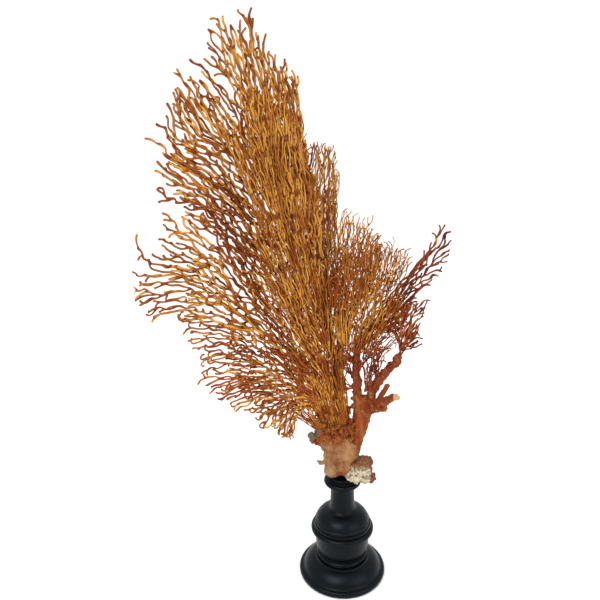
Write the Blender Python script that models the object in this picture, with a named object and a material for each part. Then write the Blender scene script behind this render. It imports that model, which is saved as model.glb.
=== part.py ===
"""A dried sea fan with its holdfast and a bit of rock, standing on a black turned stand.

Frame: metres, +Z up, the origin at the middle of the stand's underside. The fan faces -Y and leans to -X.
Guide points and sizes below are in millimetres.
"""
import math

import bmesh
import bpy
import numpy as np
from mathutils import Matrix

MM = 0.001

# Stand
FOOT_RADIUS = 50.3
STAND_HEIGHT = 131.0
STAND_SIDES = 18
CROWN_RADIUS = 13.8
PIN_RADIUS = 3.0
PIN_HEIGHT = 9.0

# Fit between pieces that touch
GAP = 0.3

# Share of the triangles of the fused lumps that is kept
BASE_SHARE = 0.075

# Main strands of the net: distance apart, length of one step, and half-thickness at the stem and the tip
STRAND_SPACING = 11.5
INNER_SPACING = 14.0
STRAND_STEP = 12.0
STRAND_HALF = 1.75
TIP_HALF = 1.15
PEG_HALF_WIDTH = 3.4
PEG_HALF_DEPTH = 2.4
STRAND_CLEARANCE = 5.4

# Stems: (centre, half-width across the view, half-depth) from the bottom up
LEFT_STEM = [
    ((-8, 2, 180), 6.5, 9.5),
    ((-7, 2, 206), 6.0, 9.0),
    ((-7, 3, 231), 5.5, 8.0),
    ((-9, 5, 260), 4.8, 6.8),
    ((-13, 7, 288), 4.2, 5.4),
    ((-19, 7, 315), 3.4, 3.2),
]
RIGHT_STEM = [
    ((9, 0, 160), 9.0, 8.0),
    ((14, 1, 176), 8.5, 8.0),
    ((19, 2, 194), 9.5, 7.5),
    ((22, 2, 212), 10.5, 7.0),
    ((23, 2, 224), 11.5, 6.5),
]
UPRIGHT_BRANCH = [
    ((17, 2, 221.5), 5.0, 4.6),
    ((15, 1, 244), 4.6, 4.4),
    ((14, 1, 262), 4.2, 4.0),
    ((15, 2, 279), 3.4, 3.4),
    ((16, 2, 296), 2.8, 2.8),
]
OUTER_BRANCH = [
    ((29, 1, 221.5), 4.6, 4.6),
    ((33, -1, 243), 5.4, 4.6),
    ((41, -3, 255), 4.8, 4.2),
    ((50, -4, 267), 4.2, 3.8),
    ((57, -4, 275), 3.4, 3.2),
    ((60, -5, 284), 2.6, 2.6),
]
CUT_STUB = [
    ((28, -1, 212), 4.4, 4.0),
    ((39, -4, 223), 4.6, 4.2),
    ((50, -6, 231), 4.0, 3.8),
    ((57, -7, 234), 3.4, 3.4),
]

# Lumps that make up the stony base: (centre, radii)
HOLDFAST_LUMPS = [
    ((-3, 0, 143), (18, 13, 11)),
    ((-4, 0, 156), (18.5, 14, 15)),
    ((-7, 0, 172), (20, 14, 14)),
    ((-12, 0, 186), (20, 14, 9)),
    ((-2, 1, 191), (15, 12, 10)),
    ((6, 0, 164), (14, 12, 16)),
    ((-36, -6, 183), (7, 6, 6)),
    ((-31, -5, 176), (8, 6, 5)),
    ((-25, -5, 149), (5, 4, 4)),
    ((-11, -4, 139), (10, 9, 8)),
    ((6, -4, 140), (9, 8, 8)),
]
ROCK_LUMPS = [
    ((15, -7, 136), (12, 9, 10)),
    ((26, -5, 138), (10, 9, 14)),
    ((31, -4, 127), (6, 7, 9)),
    ((22, -3, 149), (11, 9, 8)),
]

# Guides of each fan: the root in its stem, then for each guide the points that it passes on the way to its tip
FANS = {
    "left_wing_low": ((-10, -1, 203), [
        [(-27, -10, 214), (-41, -17, 224), (-50, -21, 216), (-54, -22, 188)],
        [(-33, -13, 228), (-62, -26, 242), (-88, -44, 249), (-108, -56, 247), (-116, -60, 241)],
        [(-32, -13, 237), (-66, -28, 259), (-97, -50, 272), (-121, -64, 271), (-136, -73, 270)],
        [(-34, -14, 242), (-68, -29, 274), (-103, -54, 300), (-128, -69, 308), (-147, -82, 307)],
        [(-33, -14, 247), (-75, -33, 292), (-105, -56, 322), (-132, -73, 334), (-153, -86, 338)],
    ]),
    "left_wing": ((-10, 0, 222), [
        [(-33, -14, 250), (-73, -32, 299), (-104, -56, 332), (-135, -76, 352), (-160, -90, 357), (-174, -97, 351)],
        [(-33, -14, 253), (-73, -32, 303), (-103, -56, 338), (-133, -75, 361), (-163, -92, 368), (-188, -105, 364)],
        [(-33, -14, 256), (-73, -32, 309), (-104, -56, 346), (-132, -75, 372), (-162, -92, 385), (-192, -106, 384)],
        [(-33, -14, 259), (-73, -32, 315), (-105, -57, 356), (-133, -76, 386), (-168, -97, 404), (-181, -105, 432)],
        [(-32, -13, 263), (-73, -32, 323), (-103, -56, 363), (-128, -73, 396), (-150, -88, 425), (-163, -95, 439)],
        [(-31, -13, 268), (-71, -31, 332), (-95, -52, 368), (-121, -68, 404), (-139, -83, 433), (-152, -90, 447)],
    ]),
    "left_upper": ((-10, 2, 244), [
        [(-30, -12, 276), (-63, -27, 340), (-86, -47, 378), (-113, -64, 415), (-137, -82, 446), (-155, -92, 465)],
        [(-29, -12, 280), (-57, -25, 352), (-79, -40, 396), (-114, -65, 436), (-142, -86, 477), (-162, -97, 500)],
        [(-28, -11, 284), (-54, -24, 365), (-76, -38, 414), (-108, -62, 456), (-141, -86, 490), (-163, -99, 520)],
        [(-27, -10, 288), (-52, -23, 375), (-71, -33, 431), (-103, -60, 478), (-132, -82, 506), (-144, -90, 578)],
        [(-26, -10, 292), (-49, -21, 382), (-67, -30, 442), (-92, -53, 491), (-115, -69, 530), (-134, -84, 576)],
        [(-25, -9, 296), (-46, -20, 388), (-63, -28, 446), (-84, -48, 495), (-100, -60, 538), (-123, -76, 578)],
    ]),
    "crown": ((-19, 7, 311), [
        [(-33, 0, 364), (-62, -18, 460), (-94, -44, 543), (-121, -62, 582)],
        [(-32, 1, 364), (-57, -12, 459), (-87, -38, 547), (-114, -57, 618)],
        [(-31, 2, 365), (-52, -8, 463), (-76, -26, 547), (-91, -38, 636)],
        [(-28, 5, 367), (-43, 2, 462), (-60, -8, 543), (-70, -18, 599)],
        [(-26, 8, 366), (-35, 12, 456), (-49, 8, 524), (-57, -2, 595)],
        [(-23, 12, 365), (-29, 20, 444), (-41, 18, 505), (-46, 12, 563)],
    ]),
    "center_left": ((-8, -4, 232), [
        [(-31, -24, 276), (-66, -50, 334), (-96, -72, 384)],
        [(-29, -26, 285), (-60, -50, 358), (-88, -70, 420)],
        [(-26, -26, 292), (-50, -44, 378), (-72, -60, 452)],
    ]),
    "center_front": ((-9, 1, 270), [
        [(-24, -16, 300), (-61, -48, 390), (-93, -74, 484), (-109, -86, 536)],
        [(-23, -18, 302), (-57, -44, 398), (-82, -62, 487), (-96, -72, 547)],
        [(-22, -18, 304), (-48, -34, 400), (-67, -42, 481), (-76, -54, 559)],
        [(-20, -16, 304), (-39, -24, 398), (-52, -26, 470), (-58, -34, 555)],
        [(-18, -14, 302), (-30, -14, 391), (-39, -10, 458), (-43, -8, 524)],
    ]),
    "center_back": ((-9, 9, 264), [
        [(-28, 14, 316), (-58, -2, 413), (-80, -20, 479), (-93, -34, 543)],
        [(-24, 18, 317), (-50, 12, 416), (-68, 2, 487), (-77, -8, 552)],
        [(-21, 23, 317), (-39, 26, 407), (-52, 26, 480), (-59, 22, 543)],
        [(-17, 28, 315), (-27, 38, 399), (-35, 42, 463), (-43, 42, 526)],
    ]),
    "center_right": ((-12, 10, 293), [
        [(-24, 28, 346), (-36, 46, 414), (-43, 52, 467), (-41, 54, 515)],
        [(-20, 33, 344), (-28, 56, 406), (-31, 62, 455), (-24, 68, 508)],
        [(-16, 40, 342), (-18, 67, 404), (-19, 75, 448), (-11, 85, 494)],
        [(-12, 45, 338), (-9, 81, 390), (-7, 89, 429), (-5, 96, 469)],
    ]),
    "right_lean": ((-5, 5, 252), [
        [(-8, 6, 301), (-10, 8, 351), (-8, 8, 399), (-2, 10, 443)],
        [(-4, 8, 302), (-1, 12, 350), (6, 16, 392), (15, 20, 434)],
        [(1, 10, 299), (9, 18, 337), (20, 24, 377), (32, 28, 413)],
        [(3, 12, 293), (16, 20, 327), (33, 28, 362), (46, 34, 394)],
    ]),
    "right_fan": ((16, 2, 294), [
        [(5, 0, 313), (-10, -2, 325), (-24, -6, 338)],
        [(9, -2, 323), (0, -6, 354), (-7, -8, 388)],
        [(15, -3, 326), (12, -6, 365), (9, -8, 409)],
        [(22, -1, 327), (28, -1, 364), (28, -2, 409)],
        [(28, 3, 326), (43, 5, 363), (50, 7, 400)],
        [(32, 5, 323), (53, 9, 357), (69, 13, 390)],
    ]),
    "right_plume": ((17, 3, 285), [
        [(41, 16, 324), (63, 26, 354), (80, 34, 375), (96, 42, 405)],
        [(43, 17, 320), (67, 28, 351), (91, 38, 376), (121, 50, 411)],
        [(45, 17, 317), (70, 28, 345), (94, 36, 361), (115, 44, 368)],
        [(45, 16, 312), (67, 24, 332), (80, 28, 344), (96, 32, 351)],
        [(43, 12, 306), (59, 16, 317), (68, 18, 326), (78, 20, 341)],
        [(38, 8, 300), (48, 10, 303), (55, 10, 300), (57, 10, 293)],
    ]),
    "low_plume": ((59, -5, 281), [
        [(58, -7, 297), (58, -9, 321), (63, -9, 345)],
        [(62, -7, 295), (68, -10, 318), (89, -10, 348)],
        [(66, -8, 292), (71, -11, 300), (76, -13, 312)],
        [(67, -9, 286), (71, -13, 291), (75, -15, 297)],
    ]),
    "small_plume": ((37, -4, 252), [
        [(31, -10, 269), (28, -13, 279), (22, -16, 292)],
        [(35, -11, 273), (37, -14, 285), (34, -16, 299)],
        [(40, -11, 272), (45, -14, 284), (55, -17, 296)],
    ]),
}
STEM_OF = {
    "left_stem": (
        "left_wing_low", "left_wing", "left_upper", "crown", "center_left",
        "center_front", "center_back", "center_right", "right_lean",
    ),
    "upright_branch": ("right_fan", "right_plume"),
    "outer_branch": ("low_plume", "small_plume"),
}

# Base colour and roughness of each material
COLORS = {
    "black_wood": ((0.010, 0.011, 0.013), 0.42),
    "stony_base": ((0.50, 0.23, 0.11), 0.80),
    "rock": ((0.74, 0.68, 0.52), 0.90),
    "stem": ((0.42, 0.12, 0.035), 0.65),
    "golden_fan": ((0.48, 0.20, 0.035), 0.60),
    "dark_fan": ((0.20, 0.050, 0.022), 0.60),
}


def clear_scene():
    for obj in list(bpy.data.objects):
        bpy.data.objects.remove(obj, do_unlink=True)


def material(name):
    found = bpy.data.materials.get(name)
    if found:
        return found
    color, roughness = COLORS[name]
    made = bpy.data.materials.new(name)
    made.use_nodes = True
    shader = made.node_tree.nodes["Principled BSDF"]
    shader.inputs["Base Color"].default_value = (*color, 1)
    shader.inputs["Roughness"].default_value = roughness
    return made


def add_object(name, vertices, faces, finish):
    mesh = bpy.data.meshes.new(name)
    mesh.from_pydata([tuple(MM * c for c in v) for v in vertices], [], faces)
    mesh.update()
    obj = bpy.data.objects.new(name, mesh)
    bpy.context.scene.collection.objects.link(obj)
    mesh.materials.append(material(finish))
    return obj


def as_cutter(obj):
    obj.hide_render = True
    obj.display_type = "WIRE"
    return obj


def cut(obj, cutter):
    boolean = obj.modifiers.new("cut_" + cutter.name, "BOOLEAN")
    boolean.operation = "DIFFERENCE"
    boolean.object = cutter


# The turned stand


def arc(centre, radii, start, end, count):
    """Points (radius, height) on an ellipse about a centre, from one angle in degrees to another."""
    angles = np.radians(np.linspace(start, end, count))
    return [(centre[0] + radii[0] * math.cos(a), centre[1] + radii[1] * math.sin(a)) for a in angles]


def stand_profile(grow=0.0):
    """Half-section of the stand from the underside to the top; grow swells it evenly for a cutter."""
    profile = [(FOOT_RADIUS, 0.0), (FOOT_RADIUS, 3.4), (47.6, 5.2)]
    profile += arc((24.0, 3.0), (23.0, 21.5), 12, 72, 5)
    profile += [(27.6, 24.6)]
    profile += arc((26.9, 27.8), (2.6, 1.9), -50, 50, 3)
    profile += [(27.4, 30.6), (30.2, 37.0), (30.6, 53.0)]
    profile += arc((32.9, 61.4), (3.6, 3.6), -75, 75, 5)
    profile += [(33.2, 66.2), (33.0, 70.0), (31.4, 72.0)]
    profile += arc((17.6, 70.0), (14.2, 17.0), 15, 84, 5)
    profile += [(17.0, 88.0), (14.6, 93.0), (13.3, 103.0), (13.3, 114.0), (15.4, 120.0)]
    profile += arc((18.3, 124.0), (3.1, 3.1), -48, 62, 4)
    profile += [(CROWN_RADIUS + 2, 128.6), (CROWN_RADIUS, STAND_HEIGHT)]
    pin = [(PIN_RADIUS, STAND_HEIGHT), (0.7 * PIN_RADIUS, STAND_HEIGHT + PIN_HEIGHT)]
    if not grow:
        return profile + pin
    top = STAND_HEIGHT + grow
    swollen = [(r + grow, h) for r, h in profile if h < STAND_HEIGHT]
    return swollen + [(CROWN_RADIUS + grow, top), (PIN_RADIUS + grow, top), (0.7 * PIN_RADIUS + grow, top + PIN_HEIGHT)]


def turned(name, profile, finish):
    vertices = []
    faces = []
    for radius, height in profile:
        for i in range(STAND_SIDES):
            angle = 2 * math.pi * i / STAND_SIDES
            vertices.append((radius * math.cos(angle), radius * math.sin(angle), height))
    for ring in range(len(profile) - 1):
        for i in range(STAND_SIDES):
            j = (i + 1) % STAND_SIDES
            low, high = ring * STAND_SIDES, (ring + 1) * STAND_SIDES
            faces.append((low + i, low + j, high + j, high + i))
    faces.append(tuple(reversed(range(STAND_SIDES))))
    faces.append(tuple(range((len(profile) - 1) * STAND_SIDES, len(profile) * STAND_SIDES)))
    return add_object(name, vertices, faces, finish)


def build_stand():
    stand = turned("stand", stand_profile(), "black_wood")
    stand.data.shade_smooth()
    stand.data.set_sharp_from_angle(angle=math.radians(35))
    return stand


# Stems, as tubes of oval section


def unit(vector):
    return vector / np.linalg.norm(vector)


def tube(name, sections, finish, sides=8, grow=0.0, rough=0.0, seed=1):
    """An oval tube along the sections' centres; grow swells it evenly and lengthens both ends."""
    rng = np.random.default_rng(seed)
    centres = np.array([centre for centre, _, _ in sections], float)
    steps = np.diff(centres, axis=0)
    centres[0] -= grow * unit(steps[0])
    centres[-1] += grow * unit(steps[-1])
    vertices = []
    faces = []
    for k, (_, half_width, half_depth) in enumerate(sections):
        along = unit(centres[min(k + 1, len(centres) - 1)] - centres[max(k - 1, 0)])
        right = unit(np.cross(along, (0, 1, 0)))
        depth = np.cross(right, along)
        for i in range(sides):
            angle = 2 * math.pi * (i + 0.5) / sides
            swell = 1 + rough * rng.uniform(-1, 1)
            vertices.append(centres[k] + right * math.cos(angle) * (half_width * swell + grow)
                            - depth * math.sin(angle) * (half_depth * swell + grow))
    for ring in range(len(sections) - 1):
        for i in range(sides):
            j = (i + 1) % sides
            low, high = ring * sides, (ring + 1) * sides
            faces.append((low + i, low + j, high + j, high + i))
    faces.append(tuple(reversed(range(sides))))
    faces.append(tuple(range((len(sections) - 1) * sides, len(sections) * sides)))
    return add_object(name, vertices, faces, finish)


def swollen_cutter(name, sections, grow=GAP):
    return as_cutter(tube(name + "_clearance", sections, "stem", grow=grow))


# Lumps fused in one skin, for the stony base and the rock


def lumps(name, parts, finish, voxel, share, grow=0.0):
    form = bmesh.new()
    for centre, radii in parts:
        place = Matrix.Translation([MM * c for c in centre])
        size = Matrix.Diagonal([MM * (r + grow) for r in radii] + [1])
        bmesh.ops.create_icosphere(form, subdivisions=3, radius=1, matrix=place @ size)
    mesh = bpy.data.meshes.new(name)
    form.to_mesh(mesh)
    form.free()
    obj = bpy.data.objects.new(name, mesh)
    bpy.context.scene.collection.objects.link(obj)
    mesh.materials.append(material(finish))
    skin = obj.modifiers.new("skin", "REMESH")
    skin.mode = "VOXEL"
    skin.voxel_size = MM * voxel
    soften = obj.modifiers.new("soften", "SMOOTH")
    soften.factor = 0.5
    soften.iterations = 2
    thin = obj.modifiers.new("thin", "DECIMATE")
    thin.ratio = share
    return obj


# The fans: nets of strands that fork and join on a curved sheet


def smooth_path(points, spacing=2.0):
    """Points every `spacing` along a smooth curve through the guide's own points, and the curve's length."""
    points = np.array(points, float)
    knots = np.concatenate([[0], np.cumsum(np.linalg.norm(np.diff(points, axis=0), axis=1))])
    slopes = np.empty_like(points)
    slopes[1:-1] = (points[2:] - points[:-2]) / (knots[2:] - knots[:-2])[:, None]
    slopes[0] = (points[1] - points[0]) / knots[1]
    slopes[-1] = (points[-1] - points[-2]) / (knots[-1] - knots[-2])
    fine = []
    for i in range(len(points) - 1):
        length = knots[i + 1] - knots[i]
        for u in np.linspace(0, 1, 24, endpoint=False):
            fine.append(
                (2 * u**3 - 3 * u**2 + 1) * points[i] + (u**3 - 2 * u**2 + u) * length * slopes[i]
                + (3 * u**2 - 2 * u**3) * points[i + 1] + (u**3 - u**2) * length * slopes[i + 1]
            )
    fine.append(points[-1])
    fine = np.array(fine)
    along = np.concatenate([[0], np.cumsum(np.linalg.norm(np.diff(fine, axis=0), axis=1))])
    at = np.linspace(0, along[-1], max(2, int(round(along[-1] / spacing)) + 1))
    return np.stack([np.interp(at, along, fine[:, k]) for k in range(3)], 1), along[-1]


class Sheet:
    """A curved sheet spanned by guides; s counts guides across it and l is the length along them."""

    STEP = 2.0
    BEYOND = 40.0

    def __init__(self, root, guides):
        paths = [smooth_path([root] + guide) for guide in guides]
        self.lengths = np.array([length for _, length in paths])
        self.last = len(guides) - 1
        at = np.arange(0, self.lengths.max() + self.BEYOND, self.STEP)
        rows = []
        for path, length in paths:
            inside = np.stack(
                [np.interp(at, np.linspace(0, length, len(path)), path[:, k]) for k in range(3)], 1
            )
            rows.append(inside + np.clip(at - length, 0, None)[:, None] * unit(path[-1] - path[-3]))
        self.rows = np.array(rows)

    def across(self, s):
        s = min(max(s, 0.0), self.last)
        i = min(int(s), self.last - 1)
        return i, s - i

    def end(self, s):
        i, f = self.across(s)
        return (1 - f) * self.lengths[i] + f * self.lengths[i + 1]

    def point(self, s, l):
        i, f = self.across(s)
        k = min(max(l, 0.0) / self.STEP, self.rows.shape[1] - 2)
        j = int(k)
        weights = (
            (max(i - 1, 0), -0.5 * f + f * f - 0.5 * f**3),
            (i, 1 - 2.5 * f * f + 1.5 * f**3),
            (i + 1, 0.5 * f + 2 * f * f - 1.5 * f**3),
            (min(i + 2, self.last), -0.5 * f * f + 0.5 * f**3),
        )
        total = np.zeros(3)
        for guide, weight in weights:
            total += weight * ((1 - k + j) * self.rows[guide, j] + (k - j) * self.rows[guide, j + 1])
        return total

    def frame(self, s, l):
        """The directions across and out of the sheet, and the length that one guide's step across covers."""
        low, high = max(s - 0.1, 0.0), min(s + 0.1, self.last)
        l = max(l, 12.0)
        side = self.point(high, l) - self.point(low, l)
        up = self.point(s, l + 3) - self.point(s, l)
        width = np.linalg.norm(side) / (high - low)
        return unit(side), unit(np.cross(up, side)), max(width, 0.5)


def free_place(place, before, out, taken):
    """The place, moved out of the sheet by up to 6 mm until its link is clear of other fans, or None."""
    if len(taken) == 0:
        return place
    for shift in (0, 2, -2, 4, -4, 6, -6):
        moved = place + shift * out
        path = before + np.linspace(0.35, 1, 5)[:, None] * (moved - before)
        nearest = np.linalg.norm(taken[None] - path[:, None], axis=2).min()
        if nearest > STRAND_CLEARANCE:
            return moved
    return None


def strand_half(sheet, s, l):
    left = max(1 - l / sheet.end(s), 0)
    return TIP_HALF + (STRAND_HALF - TIP_HALF) * left


def grow_net(sheet, seed, spacing, taken):
    """Grows strands row by row. Knots are (place, out, half-width, half-depth); links join parts of knots."""
    rng = np.random.default_rng(seed)
    middle = 0.5 * sheet.last
    knots = [(sheet.point(middle, 0), sheet.frame(middle, 0)[1], PEG_HALF_WIDTH, PEG_HALF_DEPTH)]
    links = []
    front = [{"s": middle, "knot": 0, "part": "full", "age": 0, "swing": 0.0, "bump": 0.0, "trim": 0.0}]
    l = 0.0
    while front:
        l += STRAND_STEP
        gap = spacing * (0.6 + 0.4 * min(l / 90, 1))
        frames = [sheet.frame(strand["s"], l) for strand in front]
        places = [sheet.point(strand["s"], l) for strand in front]
        between = [np.linalg.norm(b - a) for a, b in zip(places, places[1:])]
        lefts = [np.linalg.norm(places[0] - sheet.point(0, l)) + 0.85 * gap] + between
        rights = between + [np.linalg.norm(places[-1] - sheet.point(sheet.last, l)) + 0.85 * gap]
        fresh = []
        beside = -1.0
        i = 0
        while i < len(front):
            strand = front[i]
            side, out, width = frames[i]
            whole = strand["part"] == "full"
            joins = (
                i + 1 < len(front) and whole and front[i + 1]["part"] == "full"
                and min(strand["age"], front[i + 1]["age"]) >= 1
                and (between[i] < 0.45 * gap or (rng.random() < 0.09 and between[i] < 1.6 * gap))
            )
            if joins:
                other = front[i + 1]
                s = 0.5 * (strand["s"] + other["s"])
                side, out, width = sheet.frame(s, l)
                beside = s + 0.4 * gap / width
                half = strand_half(sheet, s, l)
                place = sheet.point(s, l) + out * 0.5 * (strand["bump"] + other["bump"])
                last = 0.5 * (knots[strand["knot"]][0] + knots[other["knot"]][0])
                place = free_place(place, last, out, taken)
                if place is not None:
                    knots.append((place, out, 1.6 * half, 1.1 * half))
                    links.append((strand["knot"], "full", len(knots) - 1, "left"))
                    links.append((other["knot"], "full", len(knots) - 1, "right"))
                    fresh.append({**strand, "s": s, "knot": len(knots) - 1, "age": 0, "swing": 0.0})
                i += 2
                continue
            pull = 0.25 * (rights[i] - lefts[i])
            s = strand["s"] + min(max(pull, -0.5 * STRAND_STEP), 0.5 * STRAND_STEP) / width
            nearest = round(s)
            if l > 0.6 * sheet.end(s) and abs(nearest - s) < 0.35:
                s += 0.35 * (nearest - s)
            s = max(s, 0.0, beside)
            if s > sheet.last:
                i += 1
                continue
            beside = s + 0.4 * gap / width
            strand["swing"] = 0.5 * strand["swing"] + 0.12 * gap * rng.normal()
            strand["bump"] = 0.6 * strand["bump"] + 0.5 * rng.normal()
            place = sheet.point(s, l) + side * strand["swing"] + out * strand["bump"]
            reach = sheet.end(s) * (1 - strand["trim"])
            done = l > reach
            if done:
                place = sheet.point(s, reach)
            if not done or l - reach < 0.7 * STRAND_STEP:
                place = free_place(place, knots[strand["knot"]][0], out, taken)
                if place is not None:
                    half = strand_half(sheet, s, l)
                    forks = (
                        not done and whole and l + STRAND_STEP < reach
                        and 0.5 * (lefts[i] + rights[i]) > 1.4 * gap * rng.uniform(0.9, 1.1)
                    )
                    scale = 1.6 if forks else rng.uniform(0.9, 1.12)
                    knots.append((place, out, scale * half, half))
                    links.append((strand["knot"], strand["part"], len(knots) - 1, "full"))
                    if forks:
                        for part, sign in (("left", -1), ("right", 1)):
                            fresh.append({
                                **strand, "s": min(max(s + sign * 0.28 * gap / width, 0.0), sheet.last),
                                "knot": len(knots) - 1, "part": part, "age": 0, "swing": 0.0,
                                "trim": 0.08 * rng.random() ** 2,
                            })
                    elif not done:
                        strand.update(s=s, knot=len(knots) - 1, part="full", age=strand["age"] + 1)
                        fresh.append(strand)
            i += 1
        front = sorted(fresh, key=lambda strand: strand["s"])
    return knots, links


def net_mesh(knots, links, grow=0.0):
    """One closed skin over a net: each knot is a four-cornered section, split in two where strands meet."""
    ways = [[] for _ in knots]
    split = set()
    for a, part_a, b, part_b in links:
        direction = unit(knots[b][0] - knots[a][0])
        ways[a].append(direction)
        ways[b].append(direction)
        if part_a != "full":
            split.add(a)
        if part_b != "full":
            split.add(b)
    leaving = [set() for _ in knots]
    for a, part_a, _, _ in links:
        leaving[a].add(part_a)
    ends = {b for _, _, b, _ in links}
    vertices = []
    corner = []
    tips = []
    for k, (place, out, half_width, half_depth) in enumerate(knots):
        along = unit(np.sum(ways[k], axis=0))
        tips.append(along)
        right = unit(np.cross(out, along))
        out = np.cross(along, right)
        if grow and k not in ends:
            place = place - grow * along
        if grow and not leaving[k]:
            place = place + grow * along
        wide = right * (half_width + grow)
        deep = out * (half_depth + grow)
        ids = {}
        for name, offset in (("FL", deep - wide), ("FR", deep + wide), ("BR", wide - deep), ("BL", -wide - deep)):
            ids[name] = len(vertices)
            vertices.append(place + offset)
        if k in split:
            for name, offset in (("FM", deep), ("BM", -deep)):
                ids[name] = len(vertices)
                vertices.append(place + offset)
        corner.append(ids)

    def part_of(k, part):
        ids = corner[k]
        fl, fr, br, bl = ids["FL"], ids["FR"], ids["BR"], ids["BL"]
        if part == "left":
            return fl, [], ids["FM"], ids["BM"], [], bl
        if part == "right":
            return ids["FM"], [], fr, br, [], ids["BM"]
        return fl, [ids["FM"]] if k in split else [], fr, br, [ids["BM"]] if k in split else [], bl

    faces = []
    for a, part_a, b, part_b in links:
        fl0, fm0, fr0, br0, bm0, bl0 = part_of(a, part_a)
        fl1, fm1, fr1, br1, bm1, bl1 = part_of(b, part_b)
        faces.append([fr0] + fm0 + [fl0, fl1] + fm1 + [fr1])
        faces.append([fl0, bl0, bl1, fl1])
        faces.append([bl0] + bm0 + [br0, br1] + bm1 + [bl1])
        faces.append([br0, fr0, fr1, br1])
    for k, ids in enumerate(corner):
        fl, fm, fr, br, bm, bl = part_of(k, "full")
        if k not in ends:
            faces.append([br] + bm[::-1] + [bl, fl] + fm + [fr])
        if not leaving[k] and k in split:
            ring = [fr] + fm + [fl, bl] + bm + [br]
            faces += [[a, b, len(vertices)] for a, b in zip(ring, ring[1:] + ring[:1])]
            vertices.append(knots[k][0] + tips[k] * (grow + knots[k][3]))
        elif not leaving[k]:
            faces.append([fr, fl, bl, br])
        elif leaving[k] == {"left"}:
            faces.append([fr, ids["FM"], ids["BM"], br])
        elif leaving[k] == {"right"}:
            faces.append([ids["FM"], fl, bl, ids["BM"]])
    return vertices, faces


def line_samples(knots, links):
    """Points about 2 mm apart along every link, to keep later fans clear of this one."""
    found = []
    for a, _, b, _ in links:
        first, last = knots[a][0], knots[b][0]
        count = max(2, int(np.linalg.norm(last - first) / 2))
        found.append(first + np.linspace(0, 1, count)[:, None] * (last - first))
    return np.concatenate(found)


def build_fans():
    """All fans, each kept clear of the ones before, and a swollen copy of each to cut its socket."""
    taken = np.zeros((0, 3))
    cutters = {}
    for seed, (name, (root, guides)) in enumerate(FANS.items()):
        dark = name in ("right_plume", "low_plume", "small_plume")
        spacing = INNER_SPACING if name.startswith("center") else STRAND_SPACING
        knots, links = grow_net(Sheet(root, guides), seed + 11, spacing, taken)
        add_object(name, *net_mesh(knots, links), "dark_fan" if dark else "golden_fan")
        cutter = add_object(name + "_socket", *net_mesh(knots, links, GAP), "golden_fan")
        cutters[name] = as_cutter(cutter)
        taken = np.concatenate([taken, line_samples(knots, links)])
    return cutters


def build():
    clear_scene()
    build_stand()
    stand_clearance = as_cutter(turned("stand_clearance", stand_profile(GAP), "black_wood"))
    sockets = build_fans()

    holdfast = lumps("holdfast", HOLDFAST_LUMPS, "stony_base", voxel=2.4, share=BASE_SHARE)
    cut(holdfast, stand_clearance)
    cut(holdfast, swollen_cutter("left_stem", LEFT_STEM))
    cut(holdfast, swollen_cutter("right_stem", RIGHT_STEM))
    cut(holdfast, sockets["left_wing_low"])

    rock = lumps("substrate_rock", ROCK_LUMPS, "rock", voxel=2.4, share=BASE_SHARE)
    cut(rock, stand_clearance)
    cut(rock, swollen_cutter("right_stem_low", RIGHT_STEM))
    base = lumps("holdfast_clearance", HOLDFAST_LUMPS, "stony_base", voxel=2.4, share=0.5, grow=0.9)
    cut(rock, as_cutter(base))

    stems = {
        "left_stem": tube("left_stem", LEFT_STEM, "stem"),
        "upright_branch": tube("upright_branch", UPRIGHT_BRANCH, "stem"),
        "outer_branch": tube("outer_branch", OUTER_BRANCH, "stem"),
    }
    right_stem = tube("right_stem", RIGHT_STEM, "stem")
    tube("cut_stub", CUT_STUB, "stem")
    cut(right_stem, swollen_cutter("upright_branch", UPRIGHT_BRANCH))
    cut(right_stem, swollen_cutter("outer_branch", OUTER_BRANCH))
    stub_clearance = swollen_cutter("cut_stub", CUT_STUB)
    cut(right_stem, stub_clearance)
    cut(stems["outer_branch"], stub_clearance)
    for stem, fans in STEM_OF.items():
        for fan in fans:
            cut(stems[stem], sockets[fan])


build()
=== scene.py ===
"""Looks of a dried sea fan on a black turned stand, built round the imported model.

Frame: metres, +Z up, the origin under the middle of the stand. Guide points and sizes below are in
millimetres.
"""
import math
from collections import namedtuple

import bmesh
import bpy
import numpy as np
from mathutils import Matrix, Vector, noise


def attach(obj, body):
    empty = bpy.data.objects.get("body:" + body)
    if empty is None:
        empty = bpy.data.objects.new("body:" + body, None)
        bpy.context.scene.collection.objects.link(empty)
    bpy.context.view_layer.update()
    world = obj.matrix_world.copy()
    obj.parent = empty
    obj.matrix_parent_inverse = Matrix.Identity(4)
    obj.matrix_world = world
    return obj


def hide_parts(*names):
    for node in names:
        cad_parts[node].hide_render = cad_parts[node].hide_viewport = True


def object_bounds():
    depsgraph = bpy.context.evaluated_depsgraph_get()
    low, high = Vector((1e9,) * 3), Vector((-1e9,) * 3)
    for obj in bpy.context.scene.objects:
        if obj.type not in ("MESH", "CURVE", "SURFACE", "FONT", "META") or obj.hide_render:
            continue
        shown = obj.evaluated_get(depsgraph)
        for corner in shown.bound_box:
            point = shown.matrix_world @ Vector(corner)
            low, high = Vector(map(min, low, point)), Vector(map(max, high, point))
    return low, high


MM = 0.001

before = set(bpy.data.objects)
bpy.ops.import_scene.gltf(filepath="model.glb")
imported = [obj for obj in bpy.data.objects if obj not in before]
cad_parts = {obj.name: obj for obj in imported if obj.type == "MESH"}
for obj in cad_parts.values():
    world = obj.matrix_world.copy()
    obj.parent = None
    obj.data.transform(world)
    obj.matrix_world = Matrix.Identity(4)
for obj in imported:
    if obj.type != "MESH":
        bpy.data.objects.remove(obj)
cad_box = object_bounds()

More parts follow.
